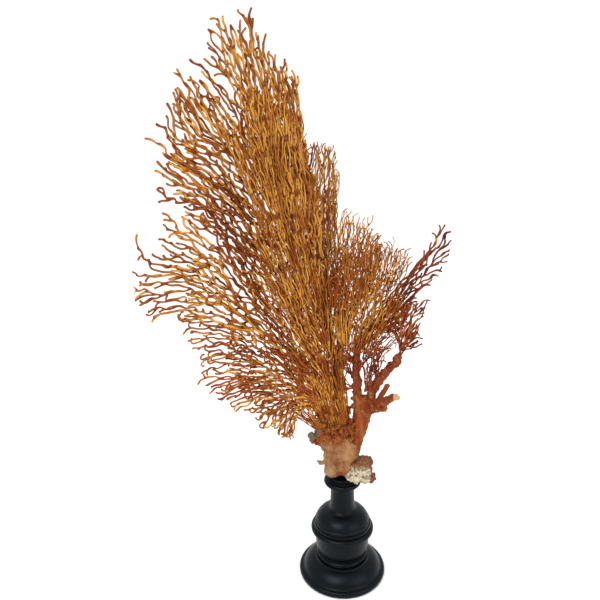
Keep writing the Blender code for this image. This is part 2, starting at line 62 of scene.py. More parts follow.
# Camera: where it stands, how it is turned (degrees), and its lens on a 36 mm square sensor
CAMERA_PLACE = (0.0, -612.0, 533.0)
CAMERA_PITCH = 17.3
CAMERA_YAW = -4.3
CAMERA_ROLL = -0.9
SENSOR = 36.0
LENS = 36.48

# Stand
FOOT_RADIUS = 51.2
STAND_HEIGHT = 131.0
TURN_SIDES = 112
CROWN_RADIUS = 13.8
PIN_RADIUS = 3.0
PIN_HEIGHT = 9.0

# Stems: (centre, half-width across the view, half-depth) from the bottom up
LEFT_STEM = [
    ((-8, 2, 180), 6.5, 9.5),
    ((-7, 2, 206), 6.0, 9.0),
    ((-7, 3, 231), 5.5, 8.0),
    ((-9, 5, 260), 4.8, 6.8),
    ((-13, 7, 288), 4.2, 5.4),
    ((-19, 7, 315), 3.4, 3.2),
]
RIGHT_STEM = [
    ((9, 0, 160), 9.0, 8.0),
    ((14, 1, 176), 8.5, 8.0),
    ((19, 2, 194), 9.5, 7.5),
    ((22, 2, 212), 10.5, 7.0),
    ((23, 2, 224), 11.5, 6.5),
]
UPRIGHT_BRANCH = [
    ((17, 2, 216), 5.4, 4.8),
    ((15, 1, 244), 4.6, 4.4),
    ((14, 1, 262), 4.2, 4.0),
    ((15, 2, 279), 3.4, 3.4),
    ((16, 2, 296), 2.8, 2.8),
]
OUTER_BRANCH = [
    ((28, 1, 216), 5.0, 4.8),
    ((33, -1, 243), 5.4, 4.6),
    ((41, -3, 255), 4.8, 4.2),
    ((50, -4, 267), 4.2, 3.8),
    ((57, -4, 275), 3.4, 3.2),
    ((60, -5, 284), 2.6, 2.6),
]
CUT_STUB = [
    ((28, -1, 212), 4.6, 4.2),
    ((39, -4, 223), 4.6, 4.2),
    ((50, -6, 231), 4.0, 3.8),
    ((57, -7, 234), 3.4, 3.4),
]
STUB_PRONGS = [
    [((33, -5, 219), 3.6, 3.4), ((41, -6, 234), 2.8, 2.6), ((48, -6, 247), 2.6, 2.4)],
    [((34, -7, 221), 3.6, 3.2), ((47, -7, 231), 2.8, 2.6), ((56, -7, 235), 3.0, 2.8)],
    [((32, -8, 219), 3.4, 3.0), ((40, -9, 219), 2.6, 2.4), ((47, -9, 221), 2.4, 2.4)],
]
# How many small knobs stand on each branch
KNOBBY = [(UPRIGHT_BRANCH, 40), (OUTER_BRANCH, 50), (CUT_STUB, 44), (STUB_PRONGS[1], 10)]

# Lumps that make up the stony base: (centre, radii)
HOLDFAST_LUMPS = [
    ((-3, 0, 143), (18, 13, 11)),
    ((-4, 0, 156), (18.5, 14, 15)),
    ((-7, 0, 172), (20, 14, 14)),
    ((-12, 0, 186), (20, 14, 9)),
    ((-2, 1, 191), (15, 12, 10)),
    ((6, 0, 164), (14, 12, 16)),
    ((-36, -6, 184.5), (4.5, 4.5, 4)),
    ((-32, -6, 179), (6, 5, 4.5)),
    ((-27, -5, 175), (6, 5, 5)),
    ((-23, -5, 149), (4, 3.4, 2.6)),
    ((-27, -5, 151), (2.6, 2.4, 2)),
    ((-11, -4, 139), (10, 9, 8)),
    ((6, -4, 140), (9, 8, 8)),
]
ROCK_LUMPS = [
    ((15, -7, 136), (12, 9, 9)),
    ((25, -5, 138), (9.5, 9, 13)),
    ((32.5, -4, 131.5), (5, 6, 6.5)),
    ((24, -3, 150), (10, 8, 7)),
    ((14, -5, 148), (6, 7, 5)),
]
# Small hollows in the front of the base and of the rock: (x, z, width, depth)
BASE_PITS = [
    (1.8, 154.5, 1.5, 3.6),
    (-3.2, 153.5, 1.3, 3.2),
    (-1.7, 139, 2.2, 4.4),
    (-8, 166, 3.0, 1.0),
    (6.5, 188, 2.4, 3.0),
    (-30, 181, 1.8, 2.6),
    (-35.5, 181, 1.3, 2.2),
    (-25, 173, 1.6, 2.4),
    (-14, 184, 1.8, 2.4),
    (-24.5, 149, 1.1, 1.8),
]
ROCK_PITS = [
    (29.5, 142, 1.6, 3.6),
    (14, 145, 1.8, 3.0),
    (21, 150, 1.5, 2.6),
    (28.5, 132, 1.4, 3.2),
    (34, 140, 1.6, 3.2),
    (20, 138, 1.2, 2.0),
]
# Rings of curled crust: (how many curls, x of the middle, reach in x, y and z, lowest and highest place)
CRUST_RINGS = [
    (44, -7, (19.5, 13.0, 0), (182, 200)),
    (34, -11, (20.0, 16.5, 0), (198, 217)),
]
# Mesh size of each fused skin
BASE_SKIN = 0.96
ROCK_SKIN = 0.7
STEM_SKIN = 1.2
BRANCH_SKIN = 0.86

# Guides of each fan: the root in its stem, then for each guide the points that it passes on its way to
# its tip
FANS = {
    "left_wing_low": ((-10, -1, 203), [
        [(-27, -10, 214), (-41, -17, 224), (-50, -21, 216), (-54, -22, 188)],
        [(-33, -13, 228), (-62, -26, 242), (-88, -44, 249), (-108, -56, 247), (-116, -60, 241)],
        [(-32, -13, 237), (-66, -28, 259), (-97, -50, 272), (-121, -64, 271), (-136, -73, 270)],
        [(-34, -14, 242), (-68, -29, 274), (-103, -54, 300), (-128, -69, 308), (-147, -82, 307)],
        [(-33, -14, 247), (-75, -33, 292), (-105, -56, 322), (-132, -73, 334), (-153, -86, 338)],
        [(-32, -13, 250), (-73, -32, 297), (-103, -56, 330), (-131, -73, 345), (-164, -92, 352)],
    ]),
    "left_wing": ((-10, 0, 222), [
        [(-33, -14, 250), (-73, -32, 299), (-104, -56, 332),
         (-135, -76, 352), (-160, -90, 357), (-174, -97, 351)],
        [(-33, -14, 253), (-73, -32, 303), (-103, -56, 338),
         (-133, -75, 361), (-163, -92, 368), (-188, -105, 364)],
        [(-33, -14, 256), (-73, -32, 309), (-104, -56, 346),
         (-132, -75, 372), (-162, -92, 385), (-192, -106, 384)],
        [(-33, -14, 259), (-73, -32, 318), (-105, -57, 361),
         (-133, -76, 391), (-168, -97, 407), (-181, -105, 432)],
        [(-32, -13, 262), (-70, -30, 328), (-97, -53, 368),
         (-121, -69, 404), (-141, -84, 425), (-163, -95, 439)],
        [(-31, -13, 266), (-65, -28, 336), (-89, -48, 381),
         (-111, -63, 421), (-132, -79, 448), (-151, -90, 460)],
    ]),
    "left_upper": ((-10, 2, 244), [
        [(-30, -12, 267), (-60, -26, 341), (-83, -44, 380),
         (-106, -60, 415), (-129, -76, 439), (-157, -92, 449)],
        [(-29, -12, 273), (-59, -26, 360), (-87, -48, 416),
         (-119, -69, 457), (-144, -87, 479), (-162, -97, 500)],
        [(-28, -11, 278), (-56, -25, 368), (-87, -48, 434),
         (-121, -72, 477), (-147, -89, 496), (-161, -98, 519)],
        [(-27, -10, 284), (-53, -23, 375), (-81, -44, 442),
         (-112, -66, 488), (-134, -83, 510), (-146, -91, 550)],
        [(-26, -10, 289), (-50, -22, 382), (-76, -39, 448),
         (-102, -60, 493), (-124, -76, 525), (-144, -90, 577)],
        [(-25, -9, 296), (-46, -20, 388), (-61, -28, 446),
         (-76, -40, 498), (-90, -52, 536), (-120, -75, 579)],
    ]),
    "crown": ((-19, 7, 311), [
        [(-33, 0, 364), (-62, -18, 460), (-94, -44, 543), (-121, -62, 582)],
        [(-32, 1, 364), (-57, -12, 459), (-87, -38, 547), (-115, -58, 616)],
        [(-31, 2, 365), (-52, -8, 463), (-76, -26, 547), (-90, -38, 630)],
        [(-28, 5, 367), (-43, 2, 462), (-60, -8, 543), (-70, -18, 599)],
        [(-26, 8, 366), (-35, 12, 456), (-49, 8, 524), (-57, -2, 595)],
        [(-23, 12, 365), (-29, 20, 444), (-41, 18, 505), (-46, 12, 563)],
    ]),
    "center_left": ((-8, -4, 232), [
        [(-31, -24, 276), (-66, -50, 334), (-96, -72, 384)],
        [(-29, -26, 285), (-60, -50, 358), (-88, -70, 420)],
        [(-26, -26, 292), (-50, -44, 378), (-72, -60, 452)],
    ]),
    "center_front": ((-9, 1, 270), [
        [(-24, -16, 300), (-61, -48, 390), (-93, -74, 484), (-109, -86, 536)],
        [(-23, -18, 302), (-57, -44, 398), (-82, -62, 487), (-96, -72, 547)],
        [(-22, -18, 304), (-48, -34, 400), (-67, -42, 481), (-76, -54, 559)],
        [(-20, -16, 304), (-39, -24, 398), (-52, -26, 470), (-58, -34, 555)],
        [(-18, -14, 302), (-30, -14, 391), (-39, -10, 458), (-43, -8, 524)],
    ]),
    "center_back": ((-9, 9, 264), [
        [(-28, 14, 316), (-58, -2, 413), (-80, -20, 479), (-93, -34, 543)],
        [(-24, 18, 317), (-50, 12, 416), (-68, 2, 487), (-77, -8, 552)],
        [(-21, 23, 317), (-39, 26, 407), (-52, 26, 480), (-59, 22, 543)],
        [(-17, 28, 315), (-27, 38, 399), (-35, 42, 463), (-43, 42, 526)],
    ]),
    "center_right": ((-12, 10, 293), [
        [(-24, 28, 346), (-36, 46, 414), (-43, 52, 467), (-41, 54, 515)],
        [(-20, 33, 344), (-28, 56, 406), (-31, 62, 455), (-24, 68, 508)],
        [(-16, 40, 342), (-18, 67, 404), (-19, 75, 448), (-11, 85, 494)],
        [(-12, 45, 338), (-9, 81, 390), (-7, 89, 429), (-5, 96, 469)],
    ]),
    "right_lean": ((-5, 5, 252), [
        [(-8, 6, 301), (-10, 8, 351), (-8, 8, 399), (-2, 10, 443)],
        [(-4, 8, 302), (-1, 12, 350), (6, 16, 392), (15, 20, 434)],
        [(1, 10, 299), (9, 18, 337), (20, 24, 377), (32, 28, 413)],
        [(3, 12, 293), (16, 20, 327), (33, 28, 362), (46, 34, 394)],
    ]),
    "right_fan": ((16, 2, 294), [
        [(5, 0, 313), (-10, -2, 325), (-24, -6, 338)],
        [(9, -2, 323), (0, -6, 354), (-7, -8, 388)],
        [(15, -3, 326), (12, -6, 365), (9, -8, 409)],
        [(22, -1, 327), (28, -1, 364), (28, -2, 409)],
        [(28, 3, 326), (43, 5, 363), (50, 7, 400)],
        [(32, 5, 323), (53, 9, 357), (69, 13, 390)],
        [(24, 6, 307), (38, 7, 335), (54, 9, 364)],
        [(28, 9, 302), (47, 9, 323), (65, 10, 340)],
        [(31, 9, 292), (48, 9, 299), (64, 9, 306)],
    ]),
    "right_plume": ((17, 3, 285), [
        [(41, 16, 324), (63, 26, 354), (80, 34, 375), (96, 42, 405)],
        [(43, 17, 320), (67, 28, 351), (91, 38, 376), (121, 50, 411)],
        [(45, 17, 317), (70, 28, 345), (94, 36, 361), (115, 44, 368)],
        [(45, 16, 312), (67, 24, 332), (80, 28, 344), (96, 32, 351)],
        [(43, 12, 306), (59, 16, 317), (68, 18, 326), (78, 20, 341)],
        [(38, 8, 300), (48, 10, 303), (55, 10, 300), (57, 10, 293)],
    ]),
    "low_plume": ((59, -5, 281), [
        [(58, -7, 297), (58, -9, 321), (63, -9, 345)],
        [(62, -7, 295), (68, -10, 318), (89, -10, 348)],
        [(66, -8, 292), (71, -11, 300), (76, -13, 312)],
        [(67, -9, 286), (71, -13, 291), (75, -15, 297)],
    ]),
    "small_plume": ((37, -4, 252), [
        [(31, -10, 269), (28, -13, 279), (22, -16, 292)],
        [(35, -11, 273), (37, -14, 285), (34, -16, 299)],
        [(40, -11, 272), (45, -14, 284), (55, -17, 296)],
    ]),
}

# Strands that run close round the left stem, from the crust up into its fans: guides from the crust to a tip,
# first those before the stem, then those behind it
STEM_BUNDLE = [
    [(-26, -4, 188), (-50, -17, 214), (-68, -29, 232), (-84, -42, 242)],
    [(-22, -6, 190), (-43, -16, 228), (-64, -28, 258), (-86, -46, 276)],
    [(-17, -8, 192), (-37, -16, 240), (-60, -28, 286), (-86, -48, 322)],
    [(-12, -10, 194), (-30, -15, 250), (-49, -24, 308), (-72, -40, 364)],
    [(-7, -11, 196), (-24, -14, 256), (-38, -21, 326), (-54, -32, 392)],
    [(-3, -11, 197), (-17, -13, 258), (-28, -16, 334), (-38, -22, 404)],
    [(1, -9, 198), (-11, -10, 260), (-17, -10, 334), (-20, -10, 398)],
    [(4, -6, 198), (-4, -6, 256), (-5, -2, 318), (-2, 3, 374)],
    [(5, -4, 198), (0, -4, 248), (4, -2, 290), (14, 2, 334)],
    [(6, -3, 198), (3, -3, 240), (9, -2, 272), (20, 2, 302)],
]
BACK_BUNDLE = [
    [(-24, 2, 190), (-34, 4, 236), (-56, -8, 300), (-76, -24, 332)],
    [(-18, 8, 192), (-24, 12, 254), (-42, 10, 326), (-58, 5, 376)],
    [(-10, 11, 194), (-16, 17, 262), (-28, 24, 336), (-36, 28, 388)],
    [(-2, 10, 196), (-8, 17, 262), (-14, 34, 330), (-18, 46, 380)],
    [(5, 4, 198), (0, 8, 252), (0, 22, 316), (4, 34, 364)],
]
# The fine net that hangs low before the right fan
FAN_BASE = [
    [(-4, -6, 296), (-9, -8, 330), (-8, -9, 368)],
    [(4, -6, 288), (5, -8, 326), (8, -8, 372)],
    [(12, -5, 284), (20, -6, 322), (30, -4, 366)],
    [(20, -3, 282), (34, -1, 312), (50, 3, 346)],
    [(26, 0, 280), (44, 3, 294), (64, 6, 316)],
    [(24, 2, 272), (42, 4, 282), (60, 6, 294)],
]

# Small sprays of twigs on the right stem's branches, each from its own root
SPRAYS = [
    ((15, 2, 240), [
        [(5, -3, 254), (-2, -3, 268)],
        [(6, -2, 245), (0, -2, 250), (-7, -2, 255)],
        [(9, -3, 236), (3, -3, 235), (-2, -3, 238)],
    ]),
    ((16, 2, 254), [
        [(8, -4, 264), (3, -4, 280)],
        [(9, -3, 255), (1, -3, 264), (-8, -3, 270)],
    ]),
    ((15, 2, 269), [
        [(7, -2, 282), (0, -2, 293)],
        [(6, -1, 271), (-1, -1, 277), (-9, -1, 281)],
    ]),
    ((15, 2, 262), [
        [(22, -3, 268), (27, -4, 280)],
        [(21, -4, 276), (23, -5, 292)],
    ]),
    ((24, -2, 237), [
        [(22, -8, 257), (20, -8, 275)],
        [(27, -9, 258), (29, -9, 278)],
        [(31, -9, 255), (37, -9, 271), (39, -9, 288)],
    ]),
]

# How each fan's fine net looks: strand spacing, half-thickness near the stem and at the tips, how curly the
# ends are, how light it is (in the center fans raised as painted light, against the shade deep in the net),
# its layers, each with its offset out of the sheet and the share of the length that it covers, the share of
# knots with a spur, the length of a step, and the share of knots with a gall
Look = namedtuple("Look", "gap half tip curl light layers spurs step knobs", defaults=(0.09, 3.7, 0.02))
NET_LOOKS = {
    "left_wing_low": Look(4.6, 1.3, 1.08, 1.2, 0.46, ((0, 1), (5, 0.8)), spurs=0.18),
    "left_wing": Look(4.6, 1.42, 1.12, 0.7, 0.48, ((0, 1), (-6, 0.85)), spurs=0.14),
    "left_upper": Look(4.3, 1.33, 1.12, 0.6, 0.48, ((0, 1), (6, 0.95)), spurs=0.12),
    "crown": Look(4.1, 1.32, 1.05, 0.4, 0.56, ((0, 1), (6, 0.96), (-5, 0.7)), spurs=0.12),
    # The center fans' higher light values are painted light: they brighten the deep middle of the net, which
    # the lamps leave in shade
    "center_left": Look(3.5, 0.75, 0.75, 0.5, 0.6, ((0, 1), (6, 0.9))),
    "center_front": Look(3.3, 0.7, 0.7, 0.4, 0.66, ((0, 1), (5, 1)), spurs=0.18, step=4.1),
    "center_back": Look(3.8, 0.8, 0.75, 0.3, 0.62, ((0, 1), (6, 1)), step=4.5),
    "center_right": Look(3.3, 0.7, 0.65, 0.4, 0.6, ((0, 1), (5, 1), (-5, 0.8)), spurs=0.14),
    "right_lean": Look(3.0, 0.64, 0.6, 0.6, 0.78, ((0, 1), (-5, 1), (5, 0.8)), spurs=0.16),
    "right_fan": Look(3.2, 0.65, 0.55, 0.8, 0.52, ((0, 1), (4, 1), (-4, 0.95)), spurs=0.16),
    "right_plume": Look(4.0, 1.25, 1.0, 0.5, 0.45, ((0, 1), (3, 0.85)), knobs=0.1),
    "low_plume": Look(4.2, 1.05, 0.8, 0.5, 0.5, ((0, 1), (3, 0.8)), knobs=0.08),
    "small_plume": Look(3.4, 0.8, 0.65, 0.8, 0.6, ((0, 1), (3, 1))),
    "stem_bundle": Look(2.9, 0.68, 0.62, 0.5, 0.46, ((0, 1), (4, 0.6)), spurs=0.24, step=4.5),
    "back_bundle": Look(4.2, 0.9, 0.75, 0.4, 0.5, ((0, 1),), step=4.5),
    "fan_base": Look(3.6, 0.65, 0.55, 0.8, 0.5, ((0, 1), (3, 0.4)), spurs=0.2),
    "branch_sprays": Look(3.2, 0.85, 0.6, 1.0, 0.6, ((0, 1), (3, 1))),
}
LAYER_JITTER = 6.0
DARK_FANS = ("right_plume", "low_plume", "small_plume")
LONG_LIFE = 999
JOIN_SHARE = 0.05
STUB_SHARE = 0.26
HOOK_STEP = 2.6
BOX_MARGIN = 1.5


# Small helpers


def unit(vector):
    return vector / np.linalg.norm(vector)


def new_object(name, mesh, finish):
    obj = bpy.data.objects.new(name, mesh)
    bpy.context.scene.collection.objects.link(obj)
    mesh.materials.append(finish)
    return obj


def mesh_object(name, vertices, faces, finish):
    mesh = bpy.data.meshes.new(name)
    mesh.from_pydata((np.asarray(vertices) * MM).tolist(), [], faces)
    mesh.update()
    return new_object(name, mesh, finish)


def baked(obj):
    """Replaces the object's mesh by what its modifiers make of it."""
    graph = bpy.context.evaluated_depsgraph_get()
    made = bpy.data.meshes.new_from_object(obj.evaluated_get(graph))
    obj.modifiers.clear()
    obj.data = made
    return obj


def smooth(obj, angle=60):
    obj.data.shade_smooth()
    obj.data.set_sharp_from_angle(angle=math.radians(angle))


def stands_for(obj, slot, *nodes):
    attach(obj, "root")
    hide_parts(*nodes)


# Materials


class Graph:
    """A short way to build a material's nodes."""

    def __init__(self, name):
        self.material = bpy.data.materials.new(name)
        self.material.use_nodes = True
        self.tree = self.material.node_tree
        self.shader = self.tree.nodes["Principled BSDF"]
        self.place = self.node("ShaderNodeTexCoord").outputs["Object"]

    def node(self, kind, **settings):
        made = self.tree.nodes.new(kind)
        for key, value in settings.items():
            setattr(made, key, value)
        return made

    def link(self, source, target):
        self.tree.links.new(source, target)

    def noise(self, scale, detail=4.0, roughness=0.55, stretch=None):
        """Noise of about 1/scale metres; stretch scales the three axes before it."""
        made = self.node("ShaderNodeTexNoise")
        made.inputs["Scale"].default_value = scale
        made.inputs["Detail"].default_value = detail
        made.inputs["Roughness"].default_value = roughness
        source = self.place
        if stretch:
            mapping = self.node("ShaderNodeMapping")
            mapping.inputs["Scale"].default_value = stretch
            self.link(self.place, mapping.inputs["Vector"])
            source = mapping.outputs["Vector"]
        self.link(source, made.inputs["Vector"])
        return made.outputs["Fac"]

    def cells(self, scale):
        made = self.node("ShaderNodeTexVoronoi")
        made.inputs["Scale"].default_value = scale
        self.link(self.place, made.inputs["Vector"])
        return made.outputs["Distance"]

    def axes(self):
        """The place's X, Y and Z, in metres."""
        made = self.node("ShaderNodeSeparateXYZ")
        self.link(self.place, made.inputs["Vector"])
        return made.outputs

    def attribute(self, name):
        return self.node("ShaderNodeAttribute", attribute_name=name).outputs["Fac"]

    def math(self, operation, first, second=None, clamp=False):
        made = self.node("ShaderNodeMath", operation=operation, use_clamp=clamp)
        for socket, value in zip(made.inputs, (first, second)):
            if value is None:
                continue
            if isinstance(value, (int, float)):
                socket.default_value = value
            else:
                self.link(value, socket)
        return made.outputs["Value"]

    def range(self, value, low, high, to_low=0.0, to_high=1.0):
        made = self.node("ShaderNodeMapRange")
        self.link(value, made.inputs["Value"])
        for name, number in (("From Min", low), ("From Max", high), ("To Min", to_low), ("To Max", to_high)):
            made.inputs[name].default_value = number
        return made.outputs["Result"]

    def ramp(self, value, *stops):
        made = self.node("ShaderNodeValToRGB")
        ramp = made.color_ramp
        while len(ramp.elements) < len(stops):
            ramp.elements.new(0.5)
        for element, (position, color) in zip(ramp.elements, stops):
            element.position = position
            element.color = (*color, 1)
        self.link(value, made.inputs["Fac"])
        return made.outputs["Color"]

    def mix(self, share, first, second):
        made = self.node("ShaderNodeMix", data_type="RGBA")
        for index, value in ((0, share), (6, first), (7, second)):
            socket = made.inputs[index]
            if isinstance(value, tuple):
                socket.default_value = (*value, 1)
            elif isinstance(value, (int, float)):
                socket.default_value = value
            else:
                self.link(value, socket)
        return made.outputs[2]

    def bump(self, value, distance, strength=1.0, after=None):
        made = self.node("ShaderNodeBump")
        made.inputs["Distance"].default_value = distance
        made.inputs["Strength"].default_value = strength
        self.link(value, made.inputs["Height"])
        if after:
            self.link(after, made.inputs["Normal"])
        return made.outputs["Normal"]

    def finish(self, color, roughness, normal, specular=0.5):
        self.link(color, self.shader.inputs["Base Color"])
        if isinstance(roughness, (int, float)):
            self.shader.inputs["Roughness"].default_value = roughness
        else:
            self.link(roughness, self.shader.inputs["Roughness"])
        self.shader.inputs["Specular IOR Level"].default_value = specular
        if normal:
            self.link(normal, self.shader.inputs["Normal"])
        return self.material


def strand_material(name, deep, middle, light, pale, node_color):
    """Horny strands: tone runs along each strand (from each fan's light value, raised in the center fans as
    painted light), nodes are darker, with mottling and low red patches.
    """
    g = Graph(name)
    wide = g.noise(26, 3)
    fine = g.noise(380, 4, 0.6)
    # tone starts at each fan's light value; in the center fans that value is raised as painted light against
    # the shade deep in the net
    tone = g.math("ADD", g.math("MULTIPLY", g.attribute("tone"), 0.62), g.range(wide, 0.3, 0.7, 0.10, 0.46))
    tone = g.math("ADD", tone, g.math("MULTIPLY", fine, 0.42))
    base = g.ramp(tone, (0.42, deep), (0.70, middle), (0.92, light), (1.0, pale))
    knot = g.range(g.math("ADD", g.attribute("node"), g.math("MULTIPLY", fine, 0.6)), 0.75, 1.35)
    color = g.mix(knot, base, node_color)
    patch = g.noise(62, 5, 0.7, stretch=(1.4, 1, 0.7))
    low = g.math("MULTIPLY", g.range(g.axes()["Z"], 0.52, 0.24, 0.35), g.range(patch, 0.46, 0.58))
    color = g.mix(g.math("MULTIPLY", low, 0.80, clamp=True), color, (0.24, 0.038, 0.006))
    rough = g.range(fine, 0.2, 0.8, 0.42, 0.65)
    g.shader.inputs["Specular Tint"].default_value = (1.0, 0.72, 0.42, 1)
    return g.finish(color, rough, g.bump(fine, 0.0006, 0.7), specular=0.16)


def stand_material():
    g = Graph("black_satin")
    grain = g.noise(60, 6, 0.6, stretch=(1, 1, 7))
    fine = g.noise(900, 3)
    color = g.ramp(grain, (0.3, (0.0005, 0.0008, 0.0012)), (0.7, (0.0014, 0.0020, 0.0028)))
    rough = g.range(grain, 0.3, 0.7, 0.28, 0.38)
    g.shader.inputs["Specular Tint"].default_value = (0.70, 0.88, 1.0, 1)
    return g.finish(color, rough, g.bump(fine, 0.0001, 0.3, after=g.bump(grain, 0.0003, 0.25)), specular=0.13)


def base_material():
    """Brownish salmon skin with pale worn patches, rusty crust at the top and left, and a grey lump's top."""
    g = Graph("stony_base")
    axes = g.axes()
    blotch = g.noise(55, 5, 0.6)
    streak = g.noise(90, 5, 0.6, stretch=(1, 1, 0.22))
    fine = g.noise(650, 4, 0.6)
    skin = g.ramp(streak, (0.30, (0.11, 0.032, 0.010)), (0.48, (0.20, 0.078, 0.026)),
                  (0.68, (0.33, 0.150, 0.062)))
    tan = g.ramp(fine, (0.3, (0.14, 0.080, 0.036)), (0.7, (0.30, 0.20, 0.105)))
    skin = g.mix(g.range(blotch, 0.48, 0.64), skin, tan)
    clump = g.noise(210, 5, 0.7)
    worn = g.math("MULTIPLY", g.range(g.noise(95, 4, 0.6), 0.50, 0.62), 0.45)
    skin = g.mix(worn, skin, g.mix(fine, (0.20, 0.12, 0.06), (0.40, 0.29, 0.17)))
    crust = g.ramp(clump, (0.36, (0.030, 0.008, 0.003)), (0.47, (0.17, 0.028, 0.006)),
                   (0.56, (0.24, 0.075, 0.014)), (0.66, (0.44, 0.205, 0.036)))
    high = g.math("ADD", axes["Z"], g.math("MULTIPLY", g.noise(110, 3), 0.024))
    color = g.mix(g.range(high, 0.185, 0.195), skin, crust)
    grey = g.mix(fine, (0.035, 0.026, 0.016), (0.20, 0.165, 0.11))
    rusty = g.range(axes["X"], -0.024, -0.027)
    color = g.mix(g.math("MULTIPLY", rusty, g.range(axes["Z"], 0.160, 0.166)), color, crust)
    left = g.math("SUBTRACT", -0.032, axes["X"])
    left = g.math("ADD", left, g.math("MULTIPLY", g.math("SUBTRACT", axes["Z"], 0.180), 0.8))
    worn_top = g.range(g.math("ADD", left, g.math("MULTIPLY", clump, 0.010)), 0.003, 0.008)
    color = g.mix(g.math("MULTIPLY", worn_top, g.range(axes["Z"], 0.194, 0.191)), color, grey)
    rough = g.range(fine, 0.3, 0.7, 0.6, 0.85)
    pits = g.bump(g.cells(420), 0.0006, 0.35)
    g.shader.inputs["Specular Tint"].default_value = (1.0, 0.80, 0.6, 1)
    return g.finish(color, rough, g.bump(fine, 0.0009, 0.8, after=pits), specular=0.2)


def stem_material():
    """Streaked orange-brown bark, redder and darker up the branches, with ochre patches and a pale end."""
    g = Graph("stem_skin")
    streak = g.noise(120, 6, 0.6, stretch=(1, 1, 0.16))
    blotch = g.noise(70, 4, 0.6)
    fine = g.noise(700, 4, 0.6)
    color = g.ramp(streak, (0.28, (0.045, 0.008, 0.004)), (0.46, (0.16, 0.030, 0.007)),
                   (0.66, (0.27, 0.070, 0.014)))
    red = g.ramp(fine, (0.3, (0.065, 0.010, 0.006)), (0.7, (0.24, 0.038, 0.014)))
    axes = g.axes()
    high = g.math("ADD", axes["Z"], g.math("MULTIPLY", blotch, 0.08))
    color = g.mix(g.range(high, 0.255, 0.310), color, red)
    ochre = g.ramp(fine, (0.3, (0.13, 0.040, 0.010)), (0.7, (0.32, 0.135, 0.034)))
    color = g.mix(g.range(g.noise(150, 5, 0.7), 0.54, 0.62), color, ochre)
    broken = g.math("MULTIPLY", g.range(axes["X"], 0.0535, 0.0555), g.range(axes["Z"], 0.252, 0.248))
    color = g.mix(broken, color, (0.42, 0.27, 0.13))
    rough = g.range(fine, 0.3, 0.7, 0.5, 0.75)
    normal = g.bump(fine, 0.0006, 0.6, after=g.bump(streak, 0.0012, 0.7))
    g.shader.inputs["Specular Tint"].default_value = (1.0, 0.72, 0.45, 1)
    return g.finish(color, rough, normal, specular=0.18)


def rock_material():
    """Cracked cream rock with grey blotches, a brown cap and a red end on the right."""
    g = Graph("pale_rock")
    axes = g.axes()
    blotch = g.noise(120, 6, 0.65)
    fine = g.noise(800, 5, 0.65)
    cream = g.ramp(fine, (0.30, (0.22, 0.15, 0.07)), (0.46, (0.46, 0.39, 0.25)), (0.70, (0.74, 0.69, 0.53)))
    grey = g.mix(fine, (0.05, 0.035, 0.02), (0.26, 0.21, 0.14))
    color = g.mix(g.range(g.noise(190, 6, 0.7), 0.50, 0.60), cream, grey)
    brown = g.ramp(fine, (0.3, (0.06, 0.020, 0.008)), (0.7, (0.28, 0.12, 0.045)))
    high = g.math("ADD", axes["Z"], g.math("MULTIPLY", blotch, 0.020))
    color = g.mix(g.range(high, 0.153, 0.159), color, brown)
    red = g.ramp(fine, (0.3, (0.07, 0.014, 0.010)), (0.7, (0.26, 0.085, 0.045)))
    right = g.math("ADD", axes["X"], g.math("MULTIPLY", blotch, 0.016))
    cracks = g.range(g.noise(330, 5, 0.7), 0.36, 0.30)
    color = g.mix(cracks, color, (0.055, 0.030, 0.016))
    color = g.mix(g.range(right, 0.0365, 0.0395), color, red)
    rough = g.range(fine, 0.3, 0.7, 0.7, 0.95)
    normal = g.bump(fine, 0.0012, 0.9, after=g.bump(blotch, 0.002, 0.6))
    return g.finish(color, rough, normal, specular=0.25)


def floor_material():
    g = Graph("pale_floor")
    color = g.ramp(g.noise(3, 2), (0.0, (0.95, 0.95, 0.95)), (1.0, (0.97, 0.97, 0.97)))
    return g.finish(color, 0.85, None, specular=0.1)


# The turned stand


def arc(centre, radii, start, end, count):
    """Points (radius, height) on an ellipse about a centre, from one angle in degrees to another."""
    angles = np.radians(np.linspace(start, end, count))
    return [(centre[0] + radii[0] * math.cos(a), centre[1] + radii[1] * math.sin(a)) for a in angles]


